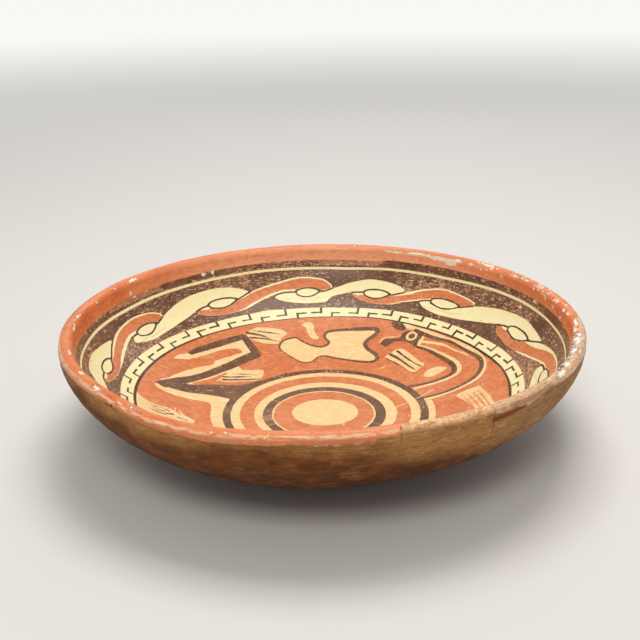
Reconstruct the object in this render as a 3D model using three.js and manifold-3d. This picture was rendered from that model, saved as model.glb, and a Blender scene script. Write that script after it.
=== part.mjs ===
// A low, wide pottery bowl, hand built, fired and painted, later mended from its sherds.
// Millimetres, +Z up. The origin is the centre of the flat underside.
// Angles are measured from +X towards +Y, seen from above, in degrees.

import * as THREE from "three";
import { mergeVertices } from "three/addons/utils/BufferGeometryUtils.js";
import Module from "manifold-3d";

// Driving sizes of the vessel
const RIM_RADIUS = 130; // outside of the wall, just under the lip
const HEIGHT = 61.5; // table to the crest of the lip
const WALL = 7.3; // thickness of the clay, the same in the floor and the wall
const BASE_RADIUS = 42; // flat underside that the bowl stands on
const FOOT_FULLNESS = 0.313; // how far the underside runs out level before it turns up
const WALL_FULLNESS = 0.566; // how much of the wall's rise stays close to upright

// Driving sizes of the mends
const SEAM = 0.8; // filler in a break, between two sherds
const GAP = 0.3; // clearance between pieces that touch
const CHIP_ANGLE = -138.8; // middle of the filled chip on the left of the lip
const CHIP_LENGTH = 13; // along the lip
const CHIP_DEPTH = 3.6; // in from the outside of the wall
const CHIP_DROP = 6; // down from the crest

// The breaks seen from above: each point is an angle and a share of the rim radius, so that a
// break runs from lip to lip on a bowl of any width. A point past 1 lies outside the wall.
const BEYOND_WALL = 10.4; // how far outside the wall a break's cut begins and ends
const OUTSIDE = 1 + BEYOND_WALL / RIM_RADIUS;
const JUNCTION = [-57.4, 0.457]; // where the short break meets the long one
const LONG_BREAK_FRONT = [
  [-77, OUTSIDE], [-76.4, 0.96], [-70.3, 0.776], [-64.2, 0.53], JUNCTION,
];
const LONG_BREAK_BACK = [
  JUNCTION, [-37.9, 0.351], [5.6, 0.301], [11.7, 0.374], [14, 0.415], [16.3, 0.473],
  [12.9, 0.584], [14, 0.698], [6.8, 0.782], [1, 0.869], [-3, 0.905], [-8, 0.95],
];
const SHORT_BREAK = [[-58.6, OUTSIDE], [-57.6, 0.947], [-54.1, 0.76], [-51.9, 0.586], JUNCTION];

// The lost stretch of lip on the right, made good in plaster: its edge, from one end to the other
const FILL_EDGE = [
  [-36.8, OUTSIDE], [-36, 0.955], [-33.5, 0.915], [-27, 0.905], [-20, 0.92],
  [-12, 0.9], [-6, 0.915], [-3.4, 0.95], [-3, OUTSIDE],
];

// Fineness of the faceted solids
const TURN_STEPS = 72; // facets round the bowl
const PROFILE_STEPS = 13; // steps up the wall
const LIP_STEPS = 8; // steps over the half-round lip
const ARC_STEP = 6; // degrees between the points of a cutting arc outside the wall
const CHIP_STEPS = 10; // curve divisions of the chip's outline

const wasm = await Module();
wasm.setup();

const slip = { roughness: 0.45, metalness: 0 };
const materials = {
  painted: new THREE.MeshStandardMaterial({ color: 0xc4603a, ...slip }),
  worn: new THREE.MeshStandardMaterial({ color: 0xb98a5e, roughness: 0.7, metalness: 0 }),
  toned: new THREE.MeshStandardMaterial({ color: 0x9a6a55, roughness: 0.6, metalness: 0 }),
  plaster: new THREE.MeshStandardMaterial({ color: 0xe6dccb, roughness: 0.85, metalness: 0 }),
  filler: new THREE.MeshStandardMaterial({ color: 0xe3c9a4, roughness: 0.7, metalness: 0 }),
};

// The point of the plan at an angle and a share of the rim radius
function planPoint([degrees, share]) {
  const angle = THREE.MathUtils.degToRad(degrees);
  const radius = share * RIM_RADIUS;
  return new THREE.Vector2(radius * Math.cos(angle), radius * Math.sin(angle));
}

// Points outside the wall from one angle to another, both ends left out
function outsideArc(from, to) {
  const steps = Math.ceil(Math.abs(to - from) / ARC_STEP);
  const points = [];
  for (let i = 1; i < steps; i += 1) {
    points.push([from + ((to - from) * i) / steps, OUTSIDE]);
  }
  return points;
}

// A closed solid from a geometry class, with its shared corners merged
function solidOf(geometry) {
  geometry.deleteAttribute("normal");
  geometry.deleteAttribute("uv");
  const merged = mergeVertices(geometry);
  const index = merged.index.array;
  const triangles = [];
  for (let i = 0; i < index.length; i += 3) {
    const [a, b, c] = [index[i], index[i + 1], index[i + 2]];
    if (a !== b && b !== c && c !== a) {
      triangles.push(a, b, c);
    }
  }
  return new wasm.Manifold(new wasm.Mesh({
    numProp: 3,
    vertProperties: Float32Array.from(merged.attributes.position.array),
    triVerts: Uint32Array.from(triangles),
  }));
}

// A named mesh from a solid
function meshOf(name, solid, material) {
  const { vertProperties, triVerts } = solid.getMesh();
  const geometry = new THREE.BufferGeometry();
  geometry.setAttribute("position", new THREE.BufferAttribute(Float32Array.from(vertProperties), 3));
  geometry.setIndex(new THREE.BufferAttribute(Uint32Array.from(triVerts), 1));
  geometry.computeVertexNormals();
  const mesh = new THREE.Mesh(geometry, material);
  mesh.name = name;
  return mesh;
}

// Half the section of the whole bowl, from the axis under the base round to the axis on the floor.
// The outside is one curve, level at the foot and upright at the lip. The inside lies one wall
// thickness in from it, and the lip is a half round between the two.
function bowlSection() {
  const lipCentre = HEIGHT - WALL / 2;
  const reach = RIM_RADIUS - BASE_RADIUS;
  const outside = new THREE.CubicBezierCurve(
    new THREE.Vector2(BASE_RADIUS, 0),
    new THREE.Vector2(BASE_RADIUS + FOOT_FULLNESS * reach, 0),
    new THREE.Vector2(RIM_RADIUS, (1 - WALL_FULLNESS) * lipCentre),
    new THREE.Vector2(RIM_RADIUS, lipCentre),
  );
  const outer = [];
  const inner = [];
  for (let i = 0; i <= PROFILE_STEPS; i += 1) {
    const point = outside.getPointAt(i / PROFILE_STEPS);
    const along = outside.getTangentAt(i / PROFILE_STEPS);
    outer.push(point);
    inner.push(new THREE.Vector2(point.x - WALL * along.y, point.y + WALL * along.x));
  }
  const lip = [];
  for (let i = 1; i < LIP_STEPS; i += 1) {
    const turn = (Math.PI * i) / LIP_STEPS;
    const x = RIM_RADIUS - (WALL / 2) * (1 - Math.cos(turn));
    lip.push(new THREE.Vector2(x, lipCentre + (WALL / 2) * Math.sin(turn)));
  }
  const start = new THREE.Vector2(0, 0);
  const end = new THREE.Vector2(0, WALL);
  return [start, ...outer, ...lip, ...inner.reverse(), end];
}

function wholeBowl() {
  const geometry = new THREE.LatheGeometry(bowlSection(), TURN_STEPS);
  geometry.rotateX(Math.PI / 2);
  return solidOf(geometry);
}

// An upright prism over an outline of the plan, from below the base, or from a given height,
// to above the lip
function prism(outline, bottom = -WALL) {
  const geometry = new THREE.ExtrudeGeometry(new THREE.Shape(outline), {
    depth: HEIGHT + WALL - bottom,
    bevelEnabled: false,
  });
  geometry.translate(0, 0, bottom);
  return solidOf(geometry);
}

// The plan points of a path moved sideways, with mitred corners
function shifted(points, distance) {
  return points.map((point, i) => {
    const before = points[Math.max(i - 1, 0)];
    const after = points[Math.min(i + 1, points.length - 1)];
    const first = (i > 0 ? point.clone().sub(before) : after.clone().sub(point)).normalize();
    const second = (i < points.length - 1 ? after.clone().sub(point) : first.clone()).normalize();
    const bisector = first.clone().add(second).normalize();
    const mitre = distance / Math.max(bisector.dot(first), 0.3);
    return new THREE.Vector2(point.x - bisector.y * mitre, point.y + bisector.x * mitre);
  });
}

// An upright band of a given thickness along a path of the plan
function band(path, thickness) {
  const points = path.map(planPoint);
  const left = shifted(points, thickness / 2);
  const right = shifted(points, -thickness / 2);
  return prism([...left, ...right.reverse()]);
}

// The filled chip in the lip: an upright oval plug, grown all round by a clearance
function chipPlug(growth) {
  const [x, y] = planPoint([CHIP_ANGLE, 1]).toArray();
  const shape = new THREE.Shape();
  const turn = THREE.MathUtils.degToRad(CHIP_ANGLE);
  const depth = CHIP_DEPTH + growth;
  const halfLength = CHIP_LENGTH / 2 + growth;
  shape.absellipse(x, y, depth, halfLength, 0, 2 * Math.PI, false, turn);
  const outline = shape.getPoints(CHIP_STEPS).slice(0, -1);
  return prism(outline, HEIGHT - CHIP_DROP - growth);
}

const bowl = wholeBowl();
const longBreak = [...LONG_BREAK_FRONT, ...LONG_BREAK_BACK.slice(1)];
const shortAngle = SHORT_BREAK[0][0];
const fillStart = FILL_EDGE[0][0];
const fillEnd = FILL_EDGE[FILL_EDGE.length - 1][0];

// The plan outline of each piece that came away, and of all that lies beyond the long break
const frontOutline = [
  ...LONG_BREAK_FRONT,
  ...[...SHORT_BREAK].reverse().slice(1),
  ...outsideArc(shortAngle, LONG_BREAK_FRONT[0][0]),
].map(planPoint);
const fillOutline = [...FILL_EDGE, ...outsideArc(fillEnd, fillStart)].map(planPoint);
const rightOutline = [
  ...SHORT_BREAK.slice(0, -1),
  ...LONG_BREAK_BACK,
  ...outsideArc(LONG_BREAK_BACK[LONG_BREAK_BACK.length - 1][0], shortAngle),
].map(planPoint);

const awayOutline = [
  ...longBreak,
  ...outsideArc(LONG_BREAK_BACK[LONG_BREAK_BACK.length - 1][0], LONG_BREAK_FRONT[0][0]),
].map(planPoint);

const frontRegion = prism(frontOutline);
const rightRegion = prism(rightOutline);
const awayRegion = prism(awayOutline);
const fillRegion = prism(fillOutline);
const fillClearance = band(FILL_EDGE, GAP);
const longClearance = band(longBreak, SEAM + 2 * GAP);
const shortClearance = band(SHORT_BREAK, SEAM + 2 * GAP);

const frontSherd = bowl.intersect(frontRegion).subtract(longClearance).subtract(shortClearance);
const rightSherd = bowl.intersect(rightRegion).subtract(fillRegion).subtract(fillClearance)
  .subtract(longClearance).subtract(shortClearance);
const rightFill = bowl.intersect(fillRegion).subtract(fillClearance);
const leftFill = bowl.intersect(chipPlug(0));
const longSeam = bowl.intersect(band(longBreak, SEAM)).subtract(fillRegion).subtract(fillClearance);
const shortSeam = bowl.intersect(band(SHORT_BREAK, SEAM)).subtract(longClearance);
const body = bowl.subtract(awayRegion).subtract(fillRegion)
  .subtract(longClearance).subtract(fillClearance).subtract(chipPlug(GAP));

const assembly = new THREE.Group();
assembly.add(
  meshOf("bowl_body", body, materials.painted),
  meshOf("front_rim_sherd", frontSherd, materials.worn),
  meshOf("right_rim_sherd", rightSherd, materials.toned),
  meshOf("right_rim_fill", rightFill, materials.plaster),
  meshOf("left_rim_fill", leftFill, materials.plaster),
  meshOf("long_mend_seam", longSeam, materials.filler),
  meshOf("short_mend_seam", shortSeam, materials.filler),
);

export default assembly;
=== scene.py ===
"""A painted pottery bowl, mended from its sherds.

The clay is one turned section with a hand-made unevenness, cut along the breaks into its pieces.
The paint is a set of distances in millimetres, kept on the mesh: how far each point lies inside
the cream, the black and so on. The materials turn the distances into brushed edges and wear.
"""

import math
from collections import namedtuple
from types import SimpleNamespace

import bpy
import numpy as np
from bpy.props import FloatProperty, FloatVectorProperty, PointerProperty
from bpy.types import Operator, Panel, PropertyGroup
from mathutils import Matrix, Vector


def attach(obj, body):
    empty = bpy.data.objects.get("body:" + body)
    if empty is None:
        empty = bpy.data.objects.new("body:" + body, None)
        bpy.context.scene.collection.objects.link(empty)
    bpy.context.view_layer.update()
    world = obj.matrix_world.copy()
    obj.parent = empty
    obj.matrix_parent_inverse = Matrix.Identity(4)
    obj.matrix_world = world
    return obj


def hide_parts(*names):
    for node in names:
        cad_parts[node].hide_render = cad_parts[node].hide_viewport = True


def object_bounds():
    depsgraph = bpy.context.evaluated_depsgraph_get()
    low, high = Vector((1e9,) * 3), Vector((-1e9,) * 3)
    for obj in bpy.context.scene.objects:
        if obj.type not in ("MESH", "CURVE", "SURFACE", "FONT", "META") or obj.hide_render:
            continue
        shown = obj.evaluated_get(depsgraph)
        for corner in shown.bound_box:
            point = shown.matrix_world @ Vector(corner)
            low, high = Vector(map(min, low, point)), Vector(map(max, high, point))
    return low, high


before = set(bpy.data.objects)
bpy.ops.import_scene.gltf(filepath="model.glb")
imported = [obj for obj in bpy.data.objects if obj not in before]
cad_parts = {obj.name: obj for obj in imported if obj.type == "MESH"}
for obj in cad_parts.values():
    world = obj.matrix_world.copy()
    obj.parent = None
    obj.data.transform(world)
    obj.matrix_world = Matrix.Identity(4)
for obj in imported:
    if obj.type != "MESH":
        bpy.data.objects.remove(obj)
CAD_BOX = [list(corner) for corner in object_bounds()]

bl_info = {
    "name": "Mended Painted Bowl",
    "version": (1, 0, 0),
    "blender": (4, 5, 0),
    "location": "3D View > Sidebar > Bowl",
    "description": "Builds a painted pottery bowl and its mends around the packed model",
    "category": "Object",
}

MM = 0.001
RIM_RADIUS = (CAD_BOX[1][0] - CAD_BOX[0][0]) / 2 / MM
HEIGHT = CAD_BOX[1][2] / MM


def screen(*rgb):
    """A colour as a shader needs it, from the 0 to 255 that it has on a screen."""
    shares = [c / 255 for c in rgb]
    return tuple(c / 12.92 if c < 0.04 else ((c + 0.055) / 1.055) ** 2.4 for c in shares)


class BowlShape(PropertyGroup):
    """Sizes of the clay and of the mends."""

    rim_radius: FloatProperty(
        name="Rim radius", description="Outside of the wall under the lip",
        default=RIM_RADIUS * MM, unit="LENGTH")
    height: FloatProperty(
        name="Height", description="Table to the crest of the lip",
        default=HEIGHT * MM, unit="LENGTH")
    wall: FloatProperty(
        name="Wall", description="Thickness of the clay",
        default=7.3 * MM, unit="LENGTH")
    base_radius: FloatProperty(
        name="Base radius", description="Flat underside",
        default=42.0 * MM, unit="LENGTH")
    foot_fullness: FloatProperty(
        name="Foot fullness", description="How far the underside runs out level",
        default=0.313, subtype="FACTOR")
    wall_fullness: FloatProperty(
        name="Wall fullness", description="How much of the rise stays upright",
        default=0.566, subtype="FACTOR")
    seam: FloatProperty(name="Seam", description="Filler in a break", default=0.8 * MM, unit="LENGTH")
    groove: FloatProperty(
        name="Groove", description="How far the filler has sunk on the lip",
        default=0.55 * MM, unit="LENGTH")
    grain: FloatProperty(
        name="Grain", description="Mesh spacing where the paint is",
        default=0.85 * MM, unit="LENGTH")
    coarse_grain: FloatProperty(
        name="Coarse grain", description="Mesh spacing on bare clay",
        default=2.2 * MM, unit="LENGTH")
    unevenness: FloatProperty(
        name="Unevenness", description="Depth of the hand-made dents",
        default=0.9 * MM, unit="LENGTH")


class BowlColours(PropertyGroup):
    """Colours of the slip, the paint, the clay and the mends."""

    slip: FloatVectorProperty(
        name="Slip", description="Orange-red slip on the floor",
        default=screen(214, 122, 72), subtype="COLOR")
    deep_slip: FloatVectorProperty(
        name="Deep slip", description="Slip where it is thick",
        default=screen(214, 98, 42), subtype="COLOR")
    cream: FloatVectorProperty(
        name="Cream", description="Cream paint on the floor",
        default=screen(244, 209, 149), subtype="COLOR")
    pale_cream: FloatVectorProperty(
        name="Pale cream", description="Cream paint on the wall",
        default=screen(248, 240, 184), subtype="COLOR")
    black: FloatVectorProperty(
        name="Black", description="Brown-black paint",
        default=screen(110, 76, 54), subtype="COLOR")
    line: FloatVectorProperty(
        name="Line", description="Thin brush lines, which are darker",
        default=screen(60, 40, 26), subtype="COLOR")
    clay: FloatVectorProperty(
        name="Clay", description="Bare clay under the lip",
        default=screen(192, 136, 80), subtype="COLOR")
    beige: FloatVectorProperty(
        name="Beige", description="Smooth clay of the right side",
        default=screen(180, 134, 86), subtype="COLOR")
    brown_clay: FloatVectorProperty(
        name="Brown clay", description="Handled clay of the outside",
        default=screen(118, 70, 34), subtype="COLOR")
    # Dark clay: painted shade where the outside darkens towards the base, and the dark grit of a break
    dark_clay: FloatVectorProperty(
        name="Dark clay", description="Smoked clay",
        default=screen(84, 46, 20), subtype="COLOR")
    loss: FloatVectorProperty(
        name="Loss", description="Pale ground where paint is gone",
        default=screen(255, 244, 220), subtype="COLOR")
    plaster: FloatVectorProperty(
        name="Plaster", description="Fills in the lip",
        default=screen(255, 252, 244), subtype="COLOR")
    filler: FloatVectorProperty(
        name="Filler", description="Filler in the breaks",
        default=screen(238, 204, 160), subtype="COLOR")


class BowlView(PropertyGroup):
    """The camera's place, and the level of the light."""

    focal_length: FloatProperty(
        name="Focal length", description="On a 36 mm sensor, in mm",
        default=54.11, unit="CAMERA")
    distance: FloatProperty(
        name="Distance", description="From the middle of the rim",
        default=485.95 * MM, unit="LENGTH")
    elevation: FloatProperty(
        name="Elevation", description="How far the camera looks down",
        default=math.radians(20.266), subtype="ANGLE")
    roll: FloatProperty(
        name="Roll", description="Turn of the picture",
        default=math.radians(0.900), subtype="ANGLE")
    aim_x: FloatProperty(
        name="Aim across", description="Where the middle of the rim lies in the picture",
        default=321.59, subtype="PIXEL")
    aim_y: FloatProperty(
        name="Aim down", description="Where the middle of the rim lies in the picture",
        default=313.56, subtype="PIXEL")
    key_power: FloatProperty(
        name="Overhead light", description="Power of the softbox above",
        default=5.1, unit="POWER")
    front_power: FloatProperty(
        name="Front light", description="Power of the softbox behind the camera",
        default=5.0, unit="POWER")
    strip_power: FloatProperty(
        name="Back strip", description="Power of the narrow light behind the bowl",
        default=1.2, unit="POWER")
    sky: FloatProperty(
        name="Sky", description="Strength of the even light all round",
        default=0.36, subtype="FACTOR")


def in_mm(group):
    """A group's values, with its lengths in millimetres."""
    values = SimpleNamespace()
    for name in group.__annotations__:
        is_length = group.bl_rna.properties[name].unit == "LENGTH"
        setattr(values, name, getattr(group, name) / (MM if is_length else 1))
    return values


# Breaks seen from above: each point is an angle in degrees and a share of the rim radius
BEYOND_WALL = 10.4  # how far outside the wall a break's cut begins and ends
OUTSIDE = 1 + BEYOND_WALL / RIM_RADIUS
JUNCTION = (-57.4, 0.457)
LONG_BREAK_FRONT = ((-77, OUTSIDE), (-76.4, 0.96), (-70.3, 0.776), (-64.2, 0.53), JUNCTION)
LONG_BREAK_BACK = (
    JUNCTION, (-37.9, 0.351), (5.6, 0.301), (11.7, 0.374), (14, 0.415), (16.3, 0.473),
    (12.9, 0.584), (14, 0.698), (6.8, 0.782), (1, 0.869), (-3, 0.905), (-8, 0.95),
)
LONG_BREAK = (*LONG_BREAK_FRONT, *LONG_BREAK_BACK[1:])
SHORT_BREAK = ((-58.6, OUTSIDE), (-57.6, 0.947), (-54.1, 0.76), (-51.9, 0.586), JUNCTION)
FILL_EDGE = (
    (-36.8, OUTSIDE), (-36, 0.955), (-33.5, 0.915), (-27, 0.905), (-20, 0.92),
    (-12, 0.9), (-6, 0.915), (-3.4, 0.95), (-3, OUTSIDE),
)
CHIP_ANGLE = -138.8  # middle of the filled chip on the left of the lip
CHIP_LENGTH = 13  # along the lip, in mm
CHIP_DEPTH = 3.6  # in from the outside of the wall
CHIP_DROP = 6  # down from the crest
CHIP_STEPS = 40  # corners of the chip's outline
ARC_STEP = 6  # degrees between the points of a cut outside the wall


# Distances to painted shapes, positive inside, in millimetres

FAR = 5.0  # a distance at which a shape no longer matters


def smooth(points, closed=False, steps=5):
    """A curve through given points."""
    p = np.array(points, float)
    ends = (p[-1:], p[:2]) if closed else (2 * p[:1] - p[1:2], 2 * p[-1:] - p[-2:-1])
    q = np.vstack([ends[0], p, ends[1]])
    t = np.linspace(0, 1, steps, endpoint=False)[:, None]
    curve = [
        0.5 * (2 * b + (c - a) * t + (2 * a - 5 * b + 4 * c - d) * t**2
               + (3 * b - a - 3 * c + d) * t**3)
        for a, b, c, d in zip(q[:-3], q[1:-2], q[2:-1], q[3:])
    ]
    return np.vstack(curve if closed else [*curve, p[-1:]])


def near(points, path):
    """The places in a list of points that lie close enough to a path to matter."""
    close = (points > path.min(0) - FAR) & (points < path.max(0) + FAR)
    return np.nonzero(np.all(close, axis=1))[0]


def to_segment(p, a, b):
    """Distance from each point to a segment, and how far along it the nearest place is."""
    along = b - a
    t = np.clip(((p - a) @ along) / max(along @ along, 1e-9), 0, 1)
    return np.hypot(*(p - a - t[:, None] * along).T), t


def area(points, outline):
    """Inside a closed curve through an outline's points."""
    path = smooth(outline, closed=True)
    out = np.full(len(points), -FAR)
    index = near(points, path)
    p = points[index]
    best = np.full(len(p), FAR)
    inside = np.zeros(len(p), bool)
    for a, b in zip(path, np.roll(path, -1, 0)):
        best = np.minimum(best, to_segment(p, a, b)[0])
        if a[1] != b[1]:
            level = (a[1] > p[:, 1]) != (b[1] > p[:, 1])
            inside ^= level & (p[:, 0] < a[0] + (p[:, 1] - a[1]) * (b[0] - a[0]) / (b[1] - a[1]))
    out[index] = np.where(inside, best, -best)
    return out


def stroke(points, line, widths):
    """Inside a brush stroke along a curve, whose width changes evenly from value to value."""
    path = smooth(line)
    share = np.linspace(0, 1, len(path))
    half = np.interp(share, np.linspace(0, 1, len(widths)), widths) / 2
    out = np.full(len(points), -FAR)
    index = near(points, path)
    p = points[index]
    best = np.full(len(p), -FAR)
    for i in range(len(path) - 1):
        distance, t = to_segment(p, path[i], path[i + 1])
        best = np.maximum(best, half[i] + (half[i + 1] - half[i]) * t - distance)
    out[index] = best
    return out


def oval(p, x, y, across, deep=None):
    """Inside an upright oval, or a circle if one radius is given."""
    deep = deep or across
    return (1 - np.hypot((p[:, 0] - x) / across, (p[:, 1] - y) / deep)) * min(across, deep)


def both(*fields):
    """Inside all of some shapes."""
    return np.minimum.reduce(fields)


def any_of(*fields):
    """Inside any of some shapes."""
    return np.maximum.reduce(fields)


# The floor: places are in millimetres across and away from the middle


def medallion(p):
    """The ringed disc in the middle of the floor."""
    cream = any_of(
        oval(p, 1.0, -2, 17.3, 15.4),
        both(oval(p, 1.3, -1.5, 37.3), -oval(p, 0.35, -3, 26.1)),
        both(oval(p, 1.35, -2, 53), -oval(p, 1.3, -0.6, 44.8)),
        both(oval(p, 0, -2, 58.5), -oval(p, 1.35, -2, 52), 7 - p[:, 1]),
    )
    black = any_of(
        both(oval(p, 0.7, -2.6, 32.2), -oval(p, 0.35, -3, 27.1)),
        both(oval(p, 1.35, -2, 53.7), -oval(p, 1.3, -1.3, 49.6)),
    )
    return cream, black


def left_limb(p):
    """The pointed limb on the left: a long stroke, a bar beside it, and a wedge under it."""
    bars = area(p, (
        (-83, 37.5), (-80.5, 44), (-76, 48), (-70, 53), (-62, 61), (-50, 72), (-45, 72), (-38, 62),
        (-45, 56), (-58, 40), (-72, 27), (-84, 12), (-87, 13), (-82.3, 24), (-78, 33),
    ))
    red_bar = area(p, (
        (-82.5, 39), (-75.4, 42.9), (-67.9, 50.2), (-59.2, 58.8), (-52.3, 63.4), (-48.4, 63.9),
        (-46.6, 62), (-49.5, 59), (-58.1, 52.1), (-61.2, 48.6), (-62.2, 45), (-67.3, 41), (-73, 35),
        (-79, 27), (-85.8, 16.5), (-90, 24), (-88, 34),
    ))
    beside = area(p, (
        (-77.5, 18.5), (-70, 26), (-64, 32), (-58, 41), (-51, 49), (-46.5, 47.5), (-48, 44.4),
        (-55.5, 37.5), (-57, 32), (-62, 27.5), (-70, 21),
    ))
    beside_red = area(p, (
        (-71, 22.4), (-64, 29.2), (-57.5, 37), (-54, 41), (-51.5, 39.4), (-57, 33.6), (-61, 28),
        (-67, 22.6),
    ))
    stripe = area(p, (
        (-88, 9.5), (-87.4, 6), (-83.5, 4.6), (-77, 4.2), (-70, 5.2), (-63, 6.4), (-59.4, 4.6),
        (-57.6, -4), (-51, -4), (-50, 8), (-50, 17), (-58, 17), (-69, 15), (-80, 12),
    ))
    slits = any_of(
        stroke(p, ((-64.4, 18.1), (-59.2, 20.1)), (0.6, 1.2, 0.6)),
        stroke(p, ((-51.1, 21), (-48.3, 23.3)), (0.6, 1.2, 0.6)),
    )
    wedge = area(p, (
        (-87.9, 9.6), (-86.8, 12), (-77.1, 17.8), (-70.2, 20.9), (-59.2, 26.7), (-45.4, 31.3),
        (-35.6, 37.7), (-27, 43.6), (-20, 48), (-24, 42), (-34, 30), (-44, 18), (-48, 14.6),
        (-56, 15), (-63.8, 14), (-74.8, 10.8),
    ))
    cream = any_of(both(bars, -red_bar), both(beside, -beside_red), stripe)
    black = any_of(
        stroke(p, ((-84.5, 11.5), (-78, 19.5), (-72.3, 25.4), (-65, 33.6), (-58.5, 41.4), (-51, 49.6),
                   (-45.4, 55.8), (-39.6, 61.2)), (6, 6, 4.8, 4.6, 4.8, 5.4, 5.8, 5.4)),
        stroke(p, ((-38, 62), (-41.4, 67.8), (-46, 74.2)), (5.0, 5.2, 4.0)),
        stroke(p, ((-46.8, 74.6), (-54, 69.2), (-62.5, 61.9), (-70, 54.6), (-74.6, 49)),
               (3.4, 4.0, 4.2, 3.8, 2.8)),
        both(wedge, -slits),
    )
    return cream, black


def right_limb(p):
    """The bent limb on the right: nested lines that run down beside the fret and turn back."""
    cream = any_of(
        stroke(p, ((49.4, 80.2), (62, 70), (74, 56.8), (83.6, 42.4), (87.6, 30.4), (87.2, 20.2),
                   (81.2, 13), (65, 10), (55, 9)), (2.6, 2.2, 2.0, 2.2, 2.4, 2.4, 2.2, 2.4, 2.6)),
        stroke(p, ((58.4, 64), (65.6, 59.2), (71, 53.8), (75.2, 47.2), (80, 40.6), (83.6, 33)),
               (1.6, 1.4, 1.2, 0.9, 0.6)),
        stroke(p, ((54.5, 62.8), (59, 59.6), (65, 52.4), (70.3, 45), (75.2, 35.2), (74.6, 27),
                   (68, 24.4), (57.2, 23.8), (50.6, 22.8)), (0.8, 1.4, 2.0, 2.2, 2.2, 2.2, 2.2, 2.0)),
        area(p, ((56.3, 34.5), (58.4, 37.6), (62, 39), (66, 37.8), (69.2, 34.9), (66.4, 32.9),
                 (61, 31.3), (57.6, 32))),
    )
    black = any_of(
        stroke(p, ((55.4, 74.2), (64.4, 64.6), (73, 56.5), (79.5, 45.6), (86, 32.8), (86.3, 23.2),
                   (80.6, 15.4), (66.8, 11.8), (49, 11.2)),
               (2.4, 2.2, 1.8, 1.5, 2.4, 2.4, 2.4, 2.2, 1.6)),
        stroke(p, ((53.6, 62.8), (60.8, 55.6), (68, 44.8), (72.6, 35), (71.6, 28.4), (66, 26.4),
                   (57, 25.9), (48, 26.2)), (1.4, 2.0, 2.6, 2.8, 2.8, 2.4, 2.0, 2.2)),
    )
    return cream, black


def middle_figure(p):
    """The pale body with its dark edge, the squiggle over it, the head and the eye."""
    body = area(p, (
        (-24.6, 71.5), (-22.4, 76), (-16, 78.9), (-11.9, 76.3), (-6.7, 73.2), (-1, 71.8),
        (3.1, 73.2), (4.9, 76.5), (2.4, 80.6), (4.2, 83.7), (12, 84.3), (22, 83.3), (30.2, 81.8),
        (32, 80.2), (26.7, 76.3), (24.2, 72.5), (26, 67.3), (30, 62), (30.8, 58.6), (27.5, 57.2),
        (18.1, 59.9), (8.9, 62.8), (1.5, 65.3), (-3, 63.8), (-6.3, 59.9), (-12, 59.5),
        (-18.3, 63.9), (-23.5, 68.4),
    ))
    edge = np.interp(p[:, 0] + 0.6 * (p[:, 1] - 70), (-20, 0, 20, 34), (1.0, 1.3, 1.9, 2.8))
    eye = oval(p, 52.9, 70.8, 3.5)
    cream = any_of(
        body,
        eye,
        area(p, ((-11.9, 89), (-9.6, 91.3), (-6.1, 90.8), (-4.7, 88), (-4.4, 85), (-3, 81.8),
                 (-1.8, 80), (-3.8, 78.6), (-6.6, 80), (-8.5, 83.4), (-9.4, 87))),
        area(p, ((55.6, 64.2), (58.8, 68.4), (60, 67.3), (58.6, 64.4), (56.8, 61.9), (54.8, 62.4))),
        stroke(p, ((34, 71.5), (37, 74.6), (42, 73.9), (46.5, 72.6)), (0.7, 0.9, 0.5)),
    )
    head = area(p, (
        (34.7, 71.2), (37.6, 73.6), (42.8, 72.4), (46, 72), (48.8, 75.6), (53.6, 74.6), (57.6, 71),
        (59, 68.6), (56.4, 65.6), (54.5, 61.4), (51.4, 65.8), (47, 68.9), (42.2, 69.8),
        (38.6, 67.5), (35, 69),
    ))
    black = any_of(
        both(body + edge, -body),
        both(head, -eye),
        oval(p, 52.9, 70.8, 1.9),
        area(p, ((41.9, 84.4), (45.2, 86), (48.4, 82), (50.2, 77.6), (47.6, 77), (44, 79.6))),
    )
    return cream, black


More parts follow.
